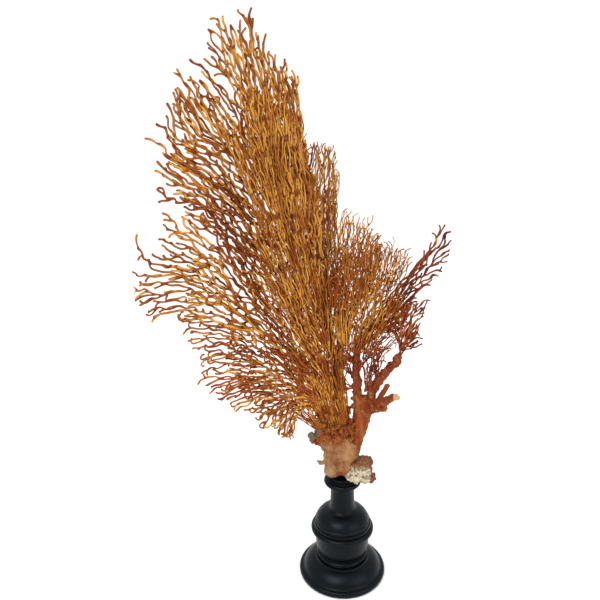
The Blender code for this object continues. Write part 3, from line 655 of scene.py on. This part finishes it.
def stand_profile():
    """Half-section of the stand from the underside to the top of its pin."""
    profile = [(0.0, 0.0), (FOOT_RADIUS - 3.2, 0.0)]
    # The foot: its rounded rim and the hollow sweep above it
    profile += arc((FOOT_RADIUS - 3.4, 4.0), (3.4, 4.0), -80, 62, 14)
    profile += [(47.6, 7.9), (46.9, 8.1), (46.3, 8.8)]
    profile += arc((24.0, 3.0), (22.9, 20.6), 19, 68, 22)
    # The bead round the foot of the drum
    profile += [(32.2, 22.3), (32.0, 23.0), (31.6, 23.9), (30.5, 24.4)]
    profile += [(29.2, 24.3), (28.0, 24.1), (27.4, 24.8)]
    profile += arc((27.5, 27.6), (2.7, 2.1), -60, 60, 9)
    # The drum
    profile += [(27.8, 30.0), (27.8, 30.8), (28.5, 31.6), (29.6, 34.0)]
    profile += [(30.6, 37.0), (31.1, 42.0), (31.2, 48.0)]
    profile += [(31.2, 54.0), (31.3, 57.0)]
    # The wide torus and the rings above it
    profile += arc((32.9, 61.4), (3.8, 3.8), -80, 70, 14)
    profile += [(33.5, 65.4), (32.0, 65.8), (31.9, 66.7), (33.4, 67.1)]
    profile += [(33.6, 68.0), (33.2, 69.2), (31.6, 69.7)]
    profile += [(31.0, 70.3), (31.0, 71.1), (32.1, 71.5), (32.1, 72.7)]
    # The dome
    profile += [(31.3, 73.6), (30.6, 75.6), (29.4, 77.9)]
    profile += [(27.4, 80.4), (24.8, 82.7), (21.6, 84.5), (18.4, 85.7)]
    profile += [(16.6, 86.3), (16.1, 86.9), (16.2, 87.6)]
    # The neck
    profile += [(15.6, 88.0), (14.9, 89.4), (14.5, 92.6), (14.1, 97.0)]
    profile += [(13.8, 103.0), (13.7, 109.0), (13.8, 114.0)]
    profile += [(14.3, 117.6), (15.3, 119.8), (16.6, 120.8)]
    # The collar and its inner rings
    profile += arc((18.3, 124.0), (3.1, 3.1), -66, 76, 14)
    profile += [(18.6, 126.9), (17.9, 127.0), (17.7, 127.8), (16.8, 128.2)]
    profile += [(16.2, 127.9), (16.0, 128.9), (15.2, 129.3)]
    profile += [(14.7, 129.0), (14.6, 130.0), (14.3, STAND_HEIGHT - 0.3)]
    # The flat top and the pin
    profile += [(CROWN_RADIUS, STAND_HEIGHT), (PIN_RADIUS, STAND_HEIGHT)]
    profile += [(PIN_RADIUS, STAND_HEIGHT + PIN_HEIGHT), (0.0, STAND_HEIGHT + PIN_HEIGHT)]
    return profile


def turned(name, profile, finish):
    """Spins a half-section whose first and last points lie on the axis."""
    vertices = [(0, 0, profile[0][1])]
    for radius, height in profile[1:-1]:
        for i in range(TURN_SIDES):
            angle = 2 * math.pi * i / TURN_SIDES
            vertices.append((radius * math.cos(angle), radius * math.sin(angle), height))
    vertices.append((0, 0, profile[-1][1]))
    faces = []
    rings = len(profile) - 2
    top = len(vertices) - 1
    for i in range(TURN_SIDES):
        j = (i + 1) % TURN_SIDES
        faces.append((0, 1 + j, 1 + i))
        for ring in range(rings - 1):
            low, high = 1 + ring * TURN_SIDES, 1 + (ring + 1) * TURN_SIDES
            faces.append((low + i, low + j, high + j, high + i))
        last = 1 + (rings - 1) * TURN_SIDES
        faces.append((last + i, last + j, top))
    return mesh_object(name, vertices, faces, finish)


def build_stand():
    stand = turned("turned_stand", stand_profile(), stand_material())
    smooth(stand, 40)
    stands_for(stand, "black_wood", "stand")


# Stems and stony base, as fused skins with uneven surfaces


def add_tube(form, sections, sides=16):
    """Adds an oval tube with rounded ends to a bmesh, in millimetres."""
    centres = np.array([centre for centre, _, _ in sections], float)
    rings = []
    last = len(sections) - 1
    for k, (_, half_width, half_depth) in enumerate(sections):
        along = unit(centres[min(k + 1, last)] - centres[max(k - 1, 0)])
        right = unit(np.cross(along, (0, 1, 0)))
        depth = np.cross(right, along)
        shapes = [(0.0, 1.0)]
        if k == 0:
            shapes = [(-0.6, 0.55), (0.0, 1.0)]
        if k == last:
            shapes = [(0.0, 1.0), (0.6, 0.6)]
        for shift, share in shapes:
            centre = centres[k] + along * shift * half_width
            ring = []
            for i in range(sides):
                angle = 2 * math.pi * (i + 0.5) / sides
                rim = right * math.cos(angle) * half_width - depth * math.sin(angle) * half_depth
                ring.append(form.verts.new(centre + share * rim))
            rings.append(ring)
    for low, high in zip(rings, rings[1:]):
        for i in range(sides):
            j = (i + 1) % sides
            form.faces.new((low[i], low[j], high[j], high[i]))
    form.faces.new(rings[0][::-1])
    form.faces.new(rings[-1])


def add_lump(form, centre, radii):
    bmesh.ops.create_icosphere(
        form, subdivisions=4, radius=1, matrix=Matrix.Translation(centre) @ Matrix.Diagonal((*radii, 1))
    )


def add_knobs(form, sections, count, rng):
    """Sets small knobs round a tube, at random places along it."""
    centres = np.array([centre for centre, _, _ in sections], float)
    for _ in range(count):
        at = rng.uniform(0, len(sections) - 1)
        k = min(int(at), len(sections) - 2)
        spot = centres[k] + (at - k) * (centres[k + 1] - centres[k])
        angle = rng.uniform(0, 2 * math.pi)
        half = sections[k][1]
        spot = spot + 0.95 * half * np.array((math.cos(angle), 0.9 * math.sin(angle), rng.uniform(-0.3, 0.3)))
        size = rng.uniform(1.5, 3.4)
        bmesh.ops.create_icosphere(form, subdivisions=2, radius=size, matrix=Matrix.Translation(spot))


def fused(name, form, finish, voxel, roughen):
    """Fuses a bmesh in millimetres to one skin, then moves each point by roughen(place, normal)."""
    mesh = bpy.data.meshes.new(name)
    form.to_mesh(mesh)
    form.free()
    mesh.transform(Matrix.Scale(MM, 4))
    obj = new_object(name, mesh, finish)
    skin = obj.modifiers.new("skin", "REMESH")
    skin.mode = "VOXEL"
    skin.voxel_size = MM * voxel
    soften = obj.modifiers.new("soften", "SMOOTH")
    soften.factor = 0.5
    soften.iterations = 3
    baked(obj)
    count = len(obj.data.vertices)
    places = np.empty(3 * count, np.float32)
    normals = np.empty(3 * count, np.float32)
    obj.data.vertices.foreach_get("co", places)
    obj.data.vertices.foreach_get("normal", normals)
    places = places.reshape(-1, 3) / MM
    normals = normals.reshape(-1, 3)
    moves = np.array([roughen(Vector(place), normal) for place, normal in zip(places, normals)])
    places = MM * (places + moves[:, None] * normals)
    obj.data.vertices.foreach_set("co", places.astype(np.float32).ravel())
    obj.data.update()
    smooth(obj, 75)
    return obj


def turbulence(place, size, octaves=3, seed=0.0):
    return noise.turbulence(place / size + Vector((seed, seed, seed)), octaves, False)


def ridges(place, across, along, seed):
    """Uneven grooves that run up the stem."""
    squeezed = Vector((place.x / across, place.y / across, place.z / along + seed))
    return noise.noise(squeezed)


def hollows(place, pits):
    """Depth of the small hollows in a front face; each is (x, z, width, depth)."""
    if place.y > 0:
        return 0.0
    return sum(
        depth * math.exp(-((place.x - x) ** 2 + (place.z - z) ** 2) / width**2) for x, z, width, depth in pits
    )


def base_surface(place, normal):
    move = 1.1 * noise.noise(place / 9) + 0.7 * ridges(place, 3.2, 16, 2.0)
    move -= hollows(place, BASE_PITS)
    crust = min(max((place.z - 182) / 8, 0), 1)
    if place.x < -24:
        crust = max(crust, min((-24 - place.x) / 3, 1))
    move += crust * 1.9 * (turbulence(place, 4.6, 3, 5.0) - 0.45)
    move += 0.25 * noise.noise(place / 1.6)
    return move


def stem_surface(place, normal):
    bumps = 0.9 * noise.noise(place / 5) + 1.0 * max(noise.noise(place / 2.6), 0)
    return bumps + 0.6 * ridges(place, 2.2, 16, 4.0) + 0.3 * noise.noise(place / 1.5)


def rock_surface(place, normal):
    blocks = noise.noise(place / 6.0) + 0.8 * noise.noise(place / 3.0)
    move = 2.3 * blocks + 0.9 * noise.noise(place / 1.6)
    return move - hollows(place, ROCK_PITS)


def add_curl(form, rng, middle, reach, heights):
    """Adds one curled edge of crust: a bent tube that stands out around the middle line."""
    around = rng.uniform(0, 2 * math.pi)
    out = np.array((math.cos(around), math.sin(around), 0))
    spot = np.array((middle, 0, rng.uniform(*heights))) + out * np.array(reach)
    side = np.array((-out[1], out[0], rng.uniform(-0.5, 0.5)))
    radius = rng.uniform(2.2, 4.6)
    start = rng.uniform(0, 2 * math.pi)
    sections = []
    for angle in np.linspace(start, start + rng.uniform(2.4, 4.4), 6):
        bend = radius * (math.cos(angle) * side + math.sin(angle) * (0.5 * out + np.array((0, 0, 0.8))))
        sections.append((tuple(spot + bend), 1.6, 1.6))
    add_tube(form, sections, sides=8)


def build_base():
    finish = base_material()
    form = bmesh.new()
    for centre, radii in HOLDFAST_LUMPS:
        add_lump(form, centre, radii)
    rng = np.random.default_rng(21)
    for count, *ring in CRUST_RINGS:
        for _ in range(count):
            add_curl(form, rng, *ring)
    base = fused("coral_base", form, finish, BASE_SKIN, base_surface)
    stands_for(base, "stony_base", "holdfast")

    form = bmesh.new()
    for centre, radii in ROCK_LUMPS:
        add_lump(form, centre, radii)
    rock = fused("rock_chunk", form, rock_material(), ROCK_SKIN, rock_surface)
    stands_for(rock, "rock", "substrate_rock")


def build_stems():
    finish = stem_material()
    form = bmesh.new()
    add_tube(form, LEFT_STEM)
    left = fused("left_trunk", form, finish, STEM_SKIN, stem_surface)
    stands_for(left, "stem", "left_stem")

    form = bmesh.new()
    for sections in (RIGHT_STEM, UPRIGHT_BRANCH, OUTER_BRANCH, CUT_STUB, *STUB_PRONGS):
        add_tube(form, sections)
    rng = np.random.default_rng(8)
    for sections, count in KNOBBY:
        add_knobs(form, sections, count, rng)
    right = fused("right_trunk", form, finish, BRANCH_SKIN, stem_surface)
    stands_for(right, "stem", "right_stem", "upright_branch", "outer_branch", "cut_stub")


# The fans: fine nets of strands that fork and join on curved sheets


def smooth_path(points, spacing=2.0):
    """Points every `spacing` along a smooth curve through the guide's own points, and the curve's length."""
    points = np.array(points, float)
    knots = np.concatenate([[0], np.cumsum(np.linalg.norm(np.diff(points, axis=0), axis=1))])
    slopes = np.empty_like(points)
    slopes[1:-1] = (points[2:] - points[:-2]) / (knots[2:] - knots[:-2])[:, None]
    slopes[0] = (points[1] - points[0]) / knots[1]
    slopes[-1] = (points[-1] - points[-2]) / (knots[-1] - knots[-2])
    fine = []
    for i in range(len(points) - 1):
        length = knots[i + 1] - knots[i]
        for u in np.linspace(0, 1, 24, endpoint=False):
            fine.append(
                (2 * u**3 - 3 * u**2 + 1) * points[i] + (u**3 - 2 * u**2 + u) * length * slopes[i]
                + (3 * u**2 - 2 * u**3) * points[i + 1] + (u**3 - u**2) * length * slopes[i + 1]
            )
    fine.append(points[-1])
    fine = np.array(fine)
    along = np.concatenate([[0], np.cumsum(np.linalg.norm(np.diff(fine, axis=0), axis=1))])
    at = np.linspace(0, along[-1], max(2, int(round(along[-1] / spacing)) + 1))
    return np.stack([np.interp(at, along, fine[:, k]) for k in range(3)], 1), along[-1]


class Sheet:
    """A curved sheet spanned by guides; s counts guides across it and l is the length along them."""

    STEP = 2.0
    BEYOND = 40.0

    def __init__(self, root, guides, offset=0.0, jitter=0.0, rng=None):
        start = [root] if root else []
        paths = [smooth_path(start + self.moved(guide, jitter, rng)) for guide in guides]
        self.spread = not root
        self.lengths = np.array([length for _, length in paths])
        self.last = len(guides) - 1
        self.offset = offset
        at = np.arange(0, self.lengths.max() + self.BEYOND, self.STEP)
        rows = []
        for path, length in paths:
            inside = np.stack(
                [np.interp(at, np.linspace(0, length, len(path)), path[:, k]) for k in range(3)], 1
            )
            rows.append(inside + np.clip(at - length, 0, None)[:, None] * unit(path[-1] - path[-3]))
        self.rows = np.array(rows)

    @staticmethod
    def moved(guide, jitter, rng):
        """The guide with its points moved by about jitter, less near its tip, so that layers cross."""
        if not jitter:
            return guide
        shares = np.linspace(0.4, 1.0, len(guide))
        shares[-1] = 0.5
        pairs = zip(guide, shares)
        return [tuple(np.array(point) + rng.normal(0, jitter * share, 3)) for point, share in pairs]

    def across(self, s):
        s = min(max(s, 0.0), self.last)
        i = min(int(s), self.last - 1)
        return i, s - i

    def end(self, s):
        i, f = self.across(s)
        return (1 - f) * self.lengths[i] + f * self.lengths[i + 1]

    def point(self, s, l):
        i, f = self.across(s)
        k = min(max(l, 0.0) / self.STEP, self.rows.shape[1] - 2)
        j = int(k)
        weights = (
            (max(i - 1, 0), -0.5 * f + f * f - 0.5 * f**3),
            (i, 1 - 2.5 * f * f + 1.5 * f**3),
            (i + 1, 0.5 * f + 2 * f * f - 1.5 * f**3),
            (min(i + 2, self.last), -0.5 * f * f + 0.5 * f**3),
        )
        total = np.zeros(3)
        for guide, weight in weights:
            total += weight * ((1 - k + j) * self.rows[guide, j] + (k - j) * self.rows[guide, j + 1])
        return total

    def frame(self, s, l):
        """The directions across, out of and along the sheet, and the length that one guide's step covers."""
        low, high = max(s - 0.1, 0.0), min(s + 0.1, self.last)
        l = max(l, 12.0)
        side = self.point(high, l) - self.point(low, l)
        up = self.point(s, l + 3) - self.point(s, l)
        width = np.linalg.norm(side) / (high - low)
        return unit(side), unit(np.cross(up, side)), unit(up), max(width, 0.5)

    def shift(self, l):
        """How far this layer lies out of the middle sheet, growing from nothing at the root."""
        return self.offset * min(l / 60, 1.0)


def add_hook(knots, links, strand, heading, out, half, turn, count):
    """Ends a strand in a short chain that turns by the same angle at each knot."""
    place = knots[strand["knot"]][0]
    before, part = strand["knot"], strand["part"]
    for step in range(count):
        heading = math.cos(turn) * heading + math.sin(turn) * np.cross(out, heading)
        place = place + HOOK_STEP * heading
        share = 1.25 if step == count - 1 else 1.0
        node = 0.7 if step == count - 1 else 0.0
        knots.append((place, out, share * half, share * half, strand["tone"], node))
        links.append((before, part, len(knots) - 1, "full"))
        before, part = len(knots) - 1, "full"


def grow_net(sheet, rng, look):
    """Grows strands row by row. Knots hold their place, out direction, half-width, half-depth, tone and node
    share; links join a part of one knot to a part of another."""
    gap_full, thick, thin, curl = look.gap, look.half, look.tip, look.curl
    starts = [0.5 * sheet.last]
    if sheet.spread:
        wide = sum(np.linalg.norm(b - a) for a, b in zip(sheet.rows[:, 0], sheet.rows[1:, 0]))
        starts = np.linspace(0, sheet.last, max(2, round(2 * wide / gap_full)))
    knots = []
    links = []
    front = []
    for s in starts:
        scale = 1.2 if sheet.spread else 2.2
        knots.append((sheet.point(s, 0), sheet.frame(s, 0)[1], scale * thick, scale * thick, look.light, 0.0))
        front.append({"s": s, "knot": len(knots) - 1, "part": "full", "age": 0, "swing": 0.0, "bump": 0.0,
                      "trim": 0.12 * rng.random(), "life": LONG_LIFE, "tone": look.light})
    l = 0.0
    while front:
        l += look.step
        gap = gap_full * (0.5 + 0.5 * min(l / 90, 1))
        frames = [sheet.frame(strand["s"], l) for strand in front]
        places = [sheet.point(strand["s"], l) for strand in front]
        between = [np.linalg.norm(b - a) for a, b in zip(places, places[1:])]
        lefts = [np.linalg.norm(places[0] - sheet.point(0, l)) + 0.8 * gap] + between
        rights = between + [np.linalg.norm(places[-1] - sheet.point(sheet.last, l)) + 0.8 * gap]
        fresh = []
        beside = -1.0
        i = 0
        while i < len(front):
            strand = front[i]
            side, out, up, width = frames[i]
            whole = strand["part"] == "full"
            joins_next = (
                i + 1 < len(front) and whole and front[i + 1]["part"] == "full"
                and min(strand["age"], front[i + 1]["age"]) >= 2
                and (between[i] < 0.42 * gap or (rng.random() < JOIN_SHARE and between[i] < 1.5 * gap))
            )
            if joins_next:
                other = front[i + 1]
                s = 0.5 * (strand["s"] + other["s"])
                side, out, up, width = sheet.frame(s, l)
                beside = s + 0.25 * gap / width
                half = thin + (thick - thin) * max(1 - l / sheet.end(s), 0)
                lift = sheet.shift(l) + 0.5 * (strand["bump"] + other["bump"])
                knots.append((sheet.point(s, l) + out * lift, out, 1.4 * half, 1.1 * half,
                              0.5 * (strand["tone"] + other["tone"]), 1.0))
                links.append((strand["knot"], "full", len(knots) - 1, "left"))
                links.append((other["knot"], "full", len(knots) - 1, "right"))
                fresh.append({**strand, "s": s, "knot": len(knots) - 1, "age": 0, "swing": 0.0,
                              "life": LONG_LIFE})
                i += 2
                continue
            pull = 0.25 * (rights[i] - lefts[i])
            s = strand["s"] + min(max(pull, -0.5 * look.step), 0.5 * look.step) / width
            s = max(s, 0.0, beside)
            if s > sheet.last:
                i += 1
                continue
            beside = s + 0.25 * gap / width
            strand["swing"] = 0.45 * strand["swing"] + 0.27 * min(gap, 4.6) * rng.normal()
            strand["bump"] = 0.6 * strand["bump"] + 0.9 * rng.normal()
            strand["tone"] += 0.12 * (look.light - strand["tone"]) + 0.11 * rng.normal()
            reach = sheet.end(s) * (1 - strand["trim"])
            half = thin + (thick - thin) * max(1 - l / sheet.end(s), 0)
            done = l > reach or strand["life"] <= 0
            place = sheet.point(s, l) + side * strand["swing"] + out * (strand["bump"] + sheet.shift(l))
            if done and l - reach > look.step:
                i += 1
                continue
            if done:
                heading = unit(place - knots[strand["knot"]][0])
                turn = curl * math.radians(rng.uniform(14, 46)) * rng.choice((-1, 1))
                chain = int(rng.integers(1, 4 + (curl > 0.7)))
                add_hook(knots, links, strand, heading, out, half, turn, chain)
                i += 1
                continue
            lively = whole and strand["life"] > 3
            spur = lively and strand["age"] > 1 and rng.random() < look.spurs
            forks = spur or (lively and 0.5 * (lefts[i] + rights[i]) > 1.4 * gap * rng.uniform(0.9, 1.1))
            scale = 1.4 if forks else rng.uniform(0.74, 1.26)
            if rng.random() < look.knobs:
                scale = 2.1
            depth_scale = scale if scale > 2 else min(scale, 1.15)
            node = 1.0 if scale > 1.3 else 0.0
            knots.append((place, out, scale * half, depth_scale * half, strand["tone"], node))
            links.append((strand["knot"], strand["part"], len(knots) - 1, "full"))
            if forks:
                short = rng.integers(0, 2) if spur or rng.random() < STUB_SHARE else -1
                for index, (part, sign) in enumerate((("left", -1), ("right", 1))):
                    fresh.append({
                        **strand, "s": min(max(s + sign * 0.28 * gap / width, 0.0), sheet.last),
                        "knot": len(knots) - 1, "part": part, "age": 0, "swing": 0.0,
                        "trim": 0.11 * rng.random() ** 1.5,
                        "life": int(rng.integers(0, 3)) if index == short else LONG_LIFE,
                        "tone": strand["tone"] + 0.16 * rng.normal(),
                    })
            else:
                strand.update(s=s, knot=len(knots) - 1, part="full")
                strand["age"] += 1
                strand["life"] -= 1
                fresh.append(strand)
            i += 1
        front = sorted(fresh, key=lambda strand: strand["s"])
    return knots, links


def net_mesh(knots, links):
    """One closed skin over a net: each knot is a four-cornered section, split in two where strands meet.
    It also returns each vertex's tone and how much it belongs to a node."""
    ways = [[] for _ in knots]
    leaving = [set() for _ in knots]
    split = set()
    for a, part_a, b, part_b in links:
        step = knots[b][0] - knots[a][0]
        direction = step / max(np.linalg.norm(step), 1e-6)
        ways[a].append(direction)
        ways[b].append(direction)
        leaving[a].add(part_a)
        if part_a != "full":
            split.add(a)
        if part_b != "full":
            split.add(b)
    ends = {b for _, _, b, _ in links}
    vertices = []
    marks = []
    corner = []
    for k, (place, out, half_width, half_depth, tone, node) in enumerate(knots):
        if not ways[k]:
            corner.append({})
            continue
        along = unit(np.sum(ways[k], axis=0) + 1e-6)
        right = unit(np.cross(out, along))
        out = np.cross(along, right)
        wide = right * half_width
        deep = out * half_depth
        ids = {}
        offsets = [("FL", deep - wide), ("FR", deep + wide), ("BR", wide - deep), ("BL", -wide - deep)]
        if k in split:
            offsets += [("FM", deep), ("BM", -deep)]
        for name, offset in offsets:
            ids[name] = len(vertices)
            vertices.append(place + offset)
            marks.append((tone, node))
        corner.append(ids)

    def part_of(k, part):
        ids = corner[k]
        fl, fr, br, bl = ids["FL"], ids["FR"], ids["BR"], ids["BL"]
        if part == "left":
            return fl, [], ids["FM"], ids["BM"], [], bl
        if part == "right":
            return ids["FM"], [], fr, br, [], ids["BM"]
        return fl, [ids["FM"]] if k in split else [], fr, br, [ids["BM"]] if k in split else [], bl

    faces = []
    for a, part_a, b, part_b in links:
        fl0, fm0, fr0, br0, bm0, bl0 = part_of(a, part_a)
        fl1, fm1, fr1, br1, bm1, bl1 = part_of(b, part_b)
        faces.append([fr0] + fm0 + [fl0, fl1] + fm1 + [fr1])
        faces.append([fl0, bl0, bl1, fl1])
        faces.append([bl0] + bm0 + [br0, br1] + bm1 + [bl1])
        faces.append([br0, fr0, fr1, br1])
    for k, ids in enumerate(corner):
        if not ids:
            continue
        fl, fm, fr, br, bm, bl = part_of(k, "full")
        if k not in ends:
            faces.append([br] + bm[::-1] + [bl, fl] + fm + [fr])
        if not leaving[k] and k in split:
            ring = [fr] + fm + [fl, bl] + bm + [br]
            faces += [[a, b, len(vertices)] for a, b in zip(ring, ring[1:] + ring[:1])]
            vertices.append(knots[k][0])
            marks.append(knots[k][4:6])
        elif not leaving[k]:
            faces.append([fr, fl, bl, br])
        elif leaving[k] == {"left"}:
            faces.append([fr, ids["FM"], ids["BM"], br])
        elif leaving[k] == {"right"}:
            faces.append([ids["FM"], fl, bl, ids["BM"]])
    return vertices, faces, marks


def inside_box(vertices):
    low = np.array(cad_box[0]) / MM + BOX_MARGIN
    high = np.array(cad_box[1]) / MM - BOX_MARGIN
    return np.clip(np.array(vertices), low, high)


def net_object(name, sheets, look, seed, finish):
    """One mesh of strands, with each sheet's net in every layer."""
    vertices = []
    faces = []
    marks = []
    for layer, (offset, reach) in enumerate(look.layers):
        for number, (root, guides) in enumerate(sheets):
            rng = np.random.default_rng(1000 * layer + 100 * number + seed)
            sheet = Sheet(root, guides, offset, LAYER_JITTER if layer else 0.0, rng)
            sheet.lengths = sheet.lengths * reach
            points, polygons, values = net_mesh(*grow_net(sheet, rng, look))
            faces += [[len(vertices) + index for index in polygon] for polygon in polygons]
            vertices += points
            marks += values
    net = mesh_object(name, inside_box(vertices), faces, finish)
    for index, title in enumerate(("tone", "node")):
        layer_data = net.data.attributes.new(title, "FLOAT", "POINT")
        layer_data.data.foreach_set("value", np.array(marks, np.float32)[:, index].copy())
    rounded = net.modifiers.new("rounded", "SUBSURF")
    rounded.levels = 1
    rounded.render_levels = 1
    net.data.shade_smooth()
    return net


def build_fans():
    golden = strand_material("golden_strands", (0.12, 0.024, 0.006), (0.25, 0.081, 0.011),
                             (0.40, 0.160, 0.022), (0.52, 0.245, 0.042), (0.13, 0.020, 0.004))
    dark = strand_material("dark_strands", (0.047, 0.008, 0.006), (0.100, 0.017, 0.010),
                           (0.25, 0.058, 0.016), (0.37, 0.125, 0.024), (0.085, 0.012, 0.008))
    for seed, (name, sheet) in enumerate(FANS.items()):
        finish = dark if name in DARK_FANS else golden
        fan = net_object(name + "_net", [sheet], NET_LOOKS[name], seed + 5, finish)
        stands_for(fan, "dark_fan" if name in DARK_FANS else "golden_fan", name)
    extras = (
        ("stem_bundle", [(None, STEM_BUNDLE)], golden),
        ("back_bundle", [(None, BACK_BUNDLE)], golden),
        ("fan_base", [(None, FAN_BASE)], golden),
        ("branch_sprays", SPRAYS, dark),
    )
    for seed, (name, sheets, finish) in enumerate(extras):
        extra = net_object(name + "_net", sheets, NET_LOOKS[name], seed + 50, finish)
        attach(extra, "root")


# Room, light and camera


def build_stage():
    size = 6.0
    mesh = bpy.data.meshes.new("floor")
    corners = [(-size, -size, 0), (size, -size, 0), (size, size, 0), (-size, size, 0)]
    mesh.from_pydata(corners, [], [(0, 1, 2, 3)])
    new_object("floor", mesh, floor_material())

    world = bpy.data.worlds.new("studio")
    bpy.context.scene.world = world
    world.use_nodes = True
    sky = world.node_tree.nodes["Background"]
    sky.inputs["Color"].default_value = (1, 1, 1, 1)
    sky.inputs["Strength"].default_value = 1.08
    for name, place, power, width in (
        ("key_light", (-0.7, -1.3, 1.7), 28.0, 1.3),
        ("fill_light", (1.3, -0.9, 1.0), 9.0, 1.2),
    ):
        light = bpy.data.lights.new(name, "AREA")
        light.energy = power
        light.size = width
        lamp = bpy.data.objects.new(name, light)
        lamp.location = place
        aim = Vector((0, 0, 0.3)) - Vector(place)
        lamp.rotation_mode = "QUATERNION"
        lamp.rotation_quaternion = aim.to_track_quat("-Z", "Y")
        bpy.context.scene.collection.objects.link(lamp)


def build_camera():
    pitch, yaw, roll = (math.radians(a) for a in (CAMERA_PITCH, CAMERA_YAW, CAMERA_ROLL))
    forward = Vector((math.sin(yaw) * math.cos(pitch), math.cos(yaw) * math.cos(pitch), -math.sin(pitch)))
    level = Vector((math.cos(yaw), -math.sin(yaw), 0))
    up = level.cross(forward)
    right = math.cos(roll) * level + math.sin(roll) * up
    up = -math.sin(roll) * level + math.cos(roll) * up
    turn = Matrix((right, up, -forward)).transposed().to_4x4()
    data = bpy.data.cameras.new("camera")
    data.sensor_width = SENSOR
    data.lens = LENS
    data.clip_start = 0.01
    data.clip_end = 50
    camera = bpy.data.objects.new("camera", data)
    camera.matrix_world = Matrix.Translation(MM * Vector(CAMERA_PLACE)) @ turn
    bpy.context.scene.collection.objects.link(camera)
    bpy.context.scene.camera = camera
    bpy.context.scene.view_settings.view_transform = "Standard"


build_camera()
build_stage()
build_stand()
build_base()
build_stems()
build_fans()
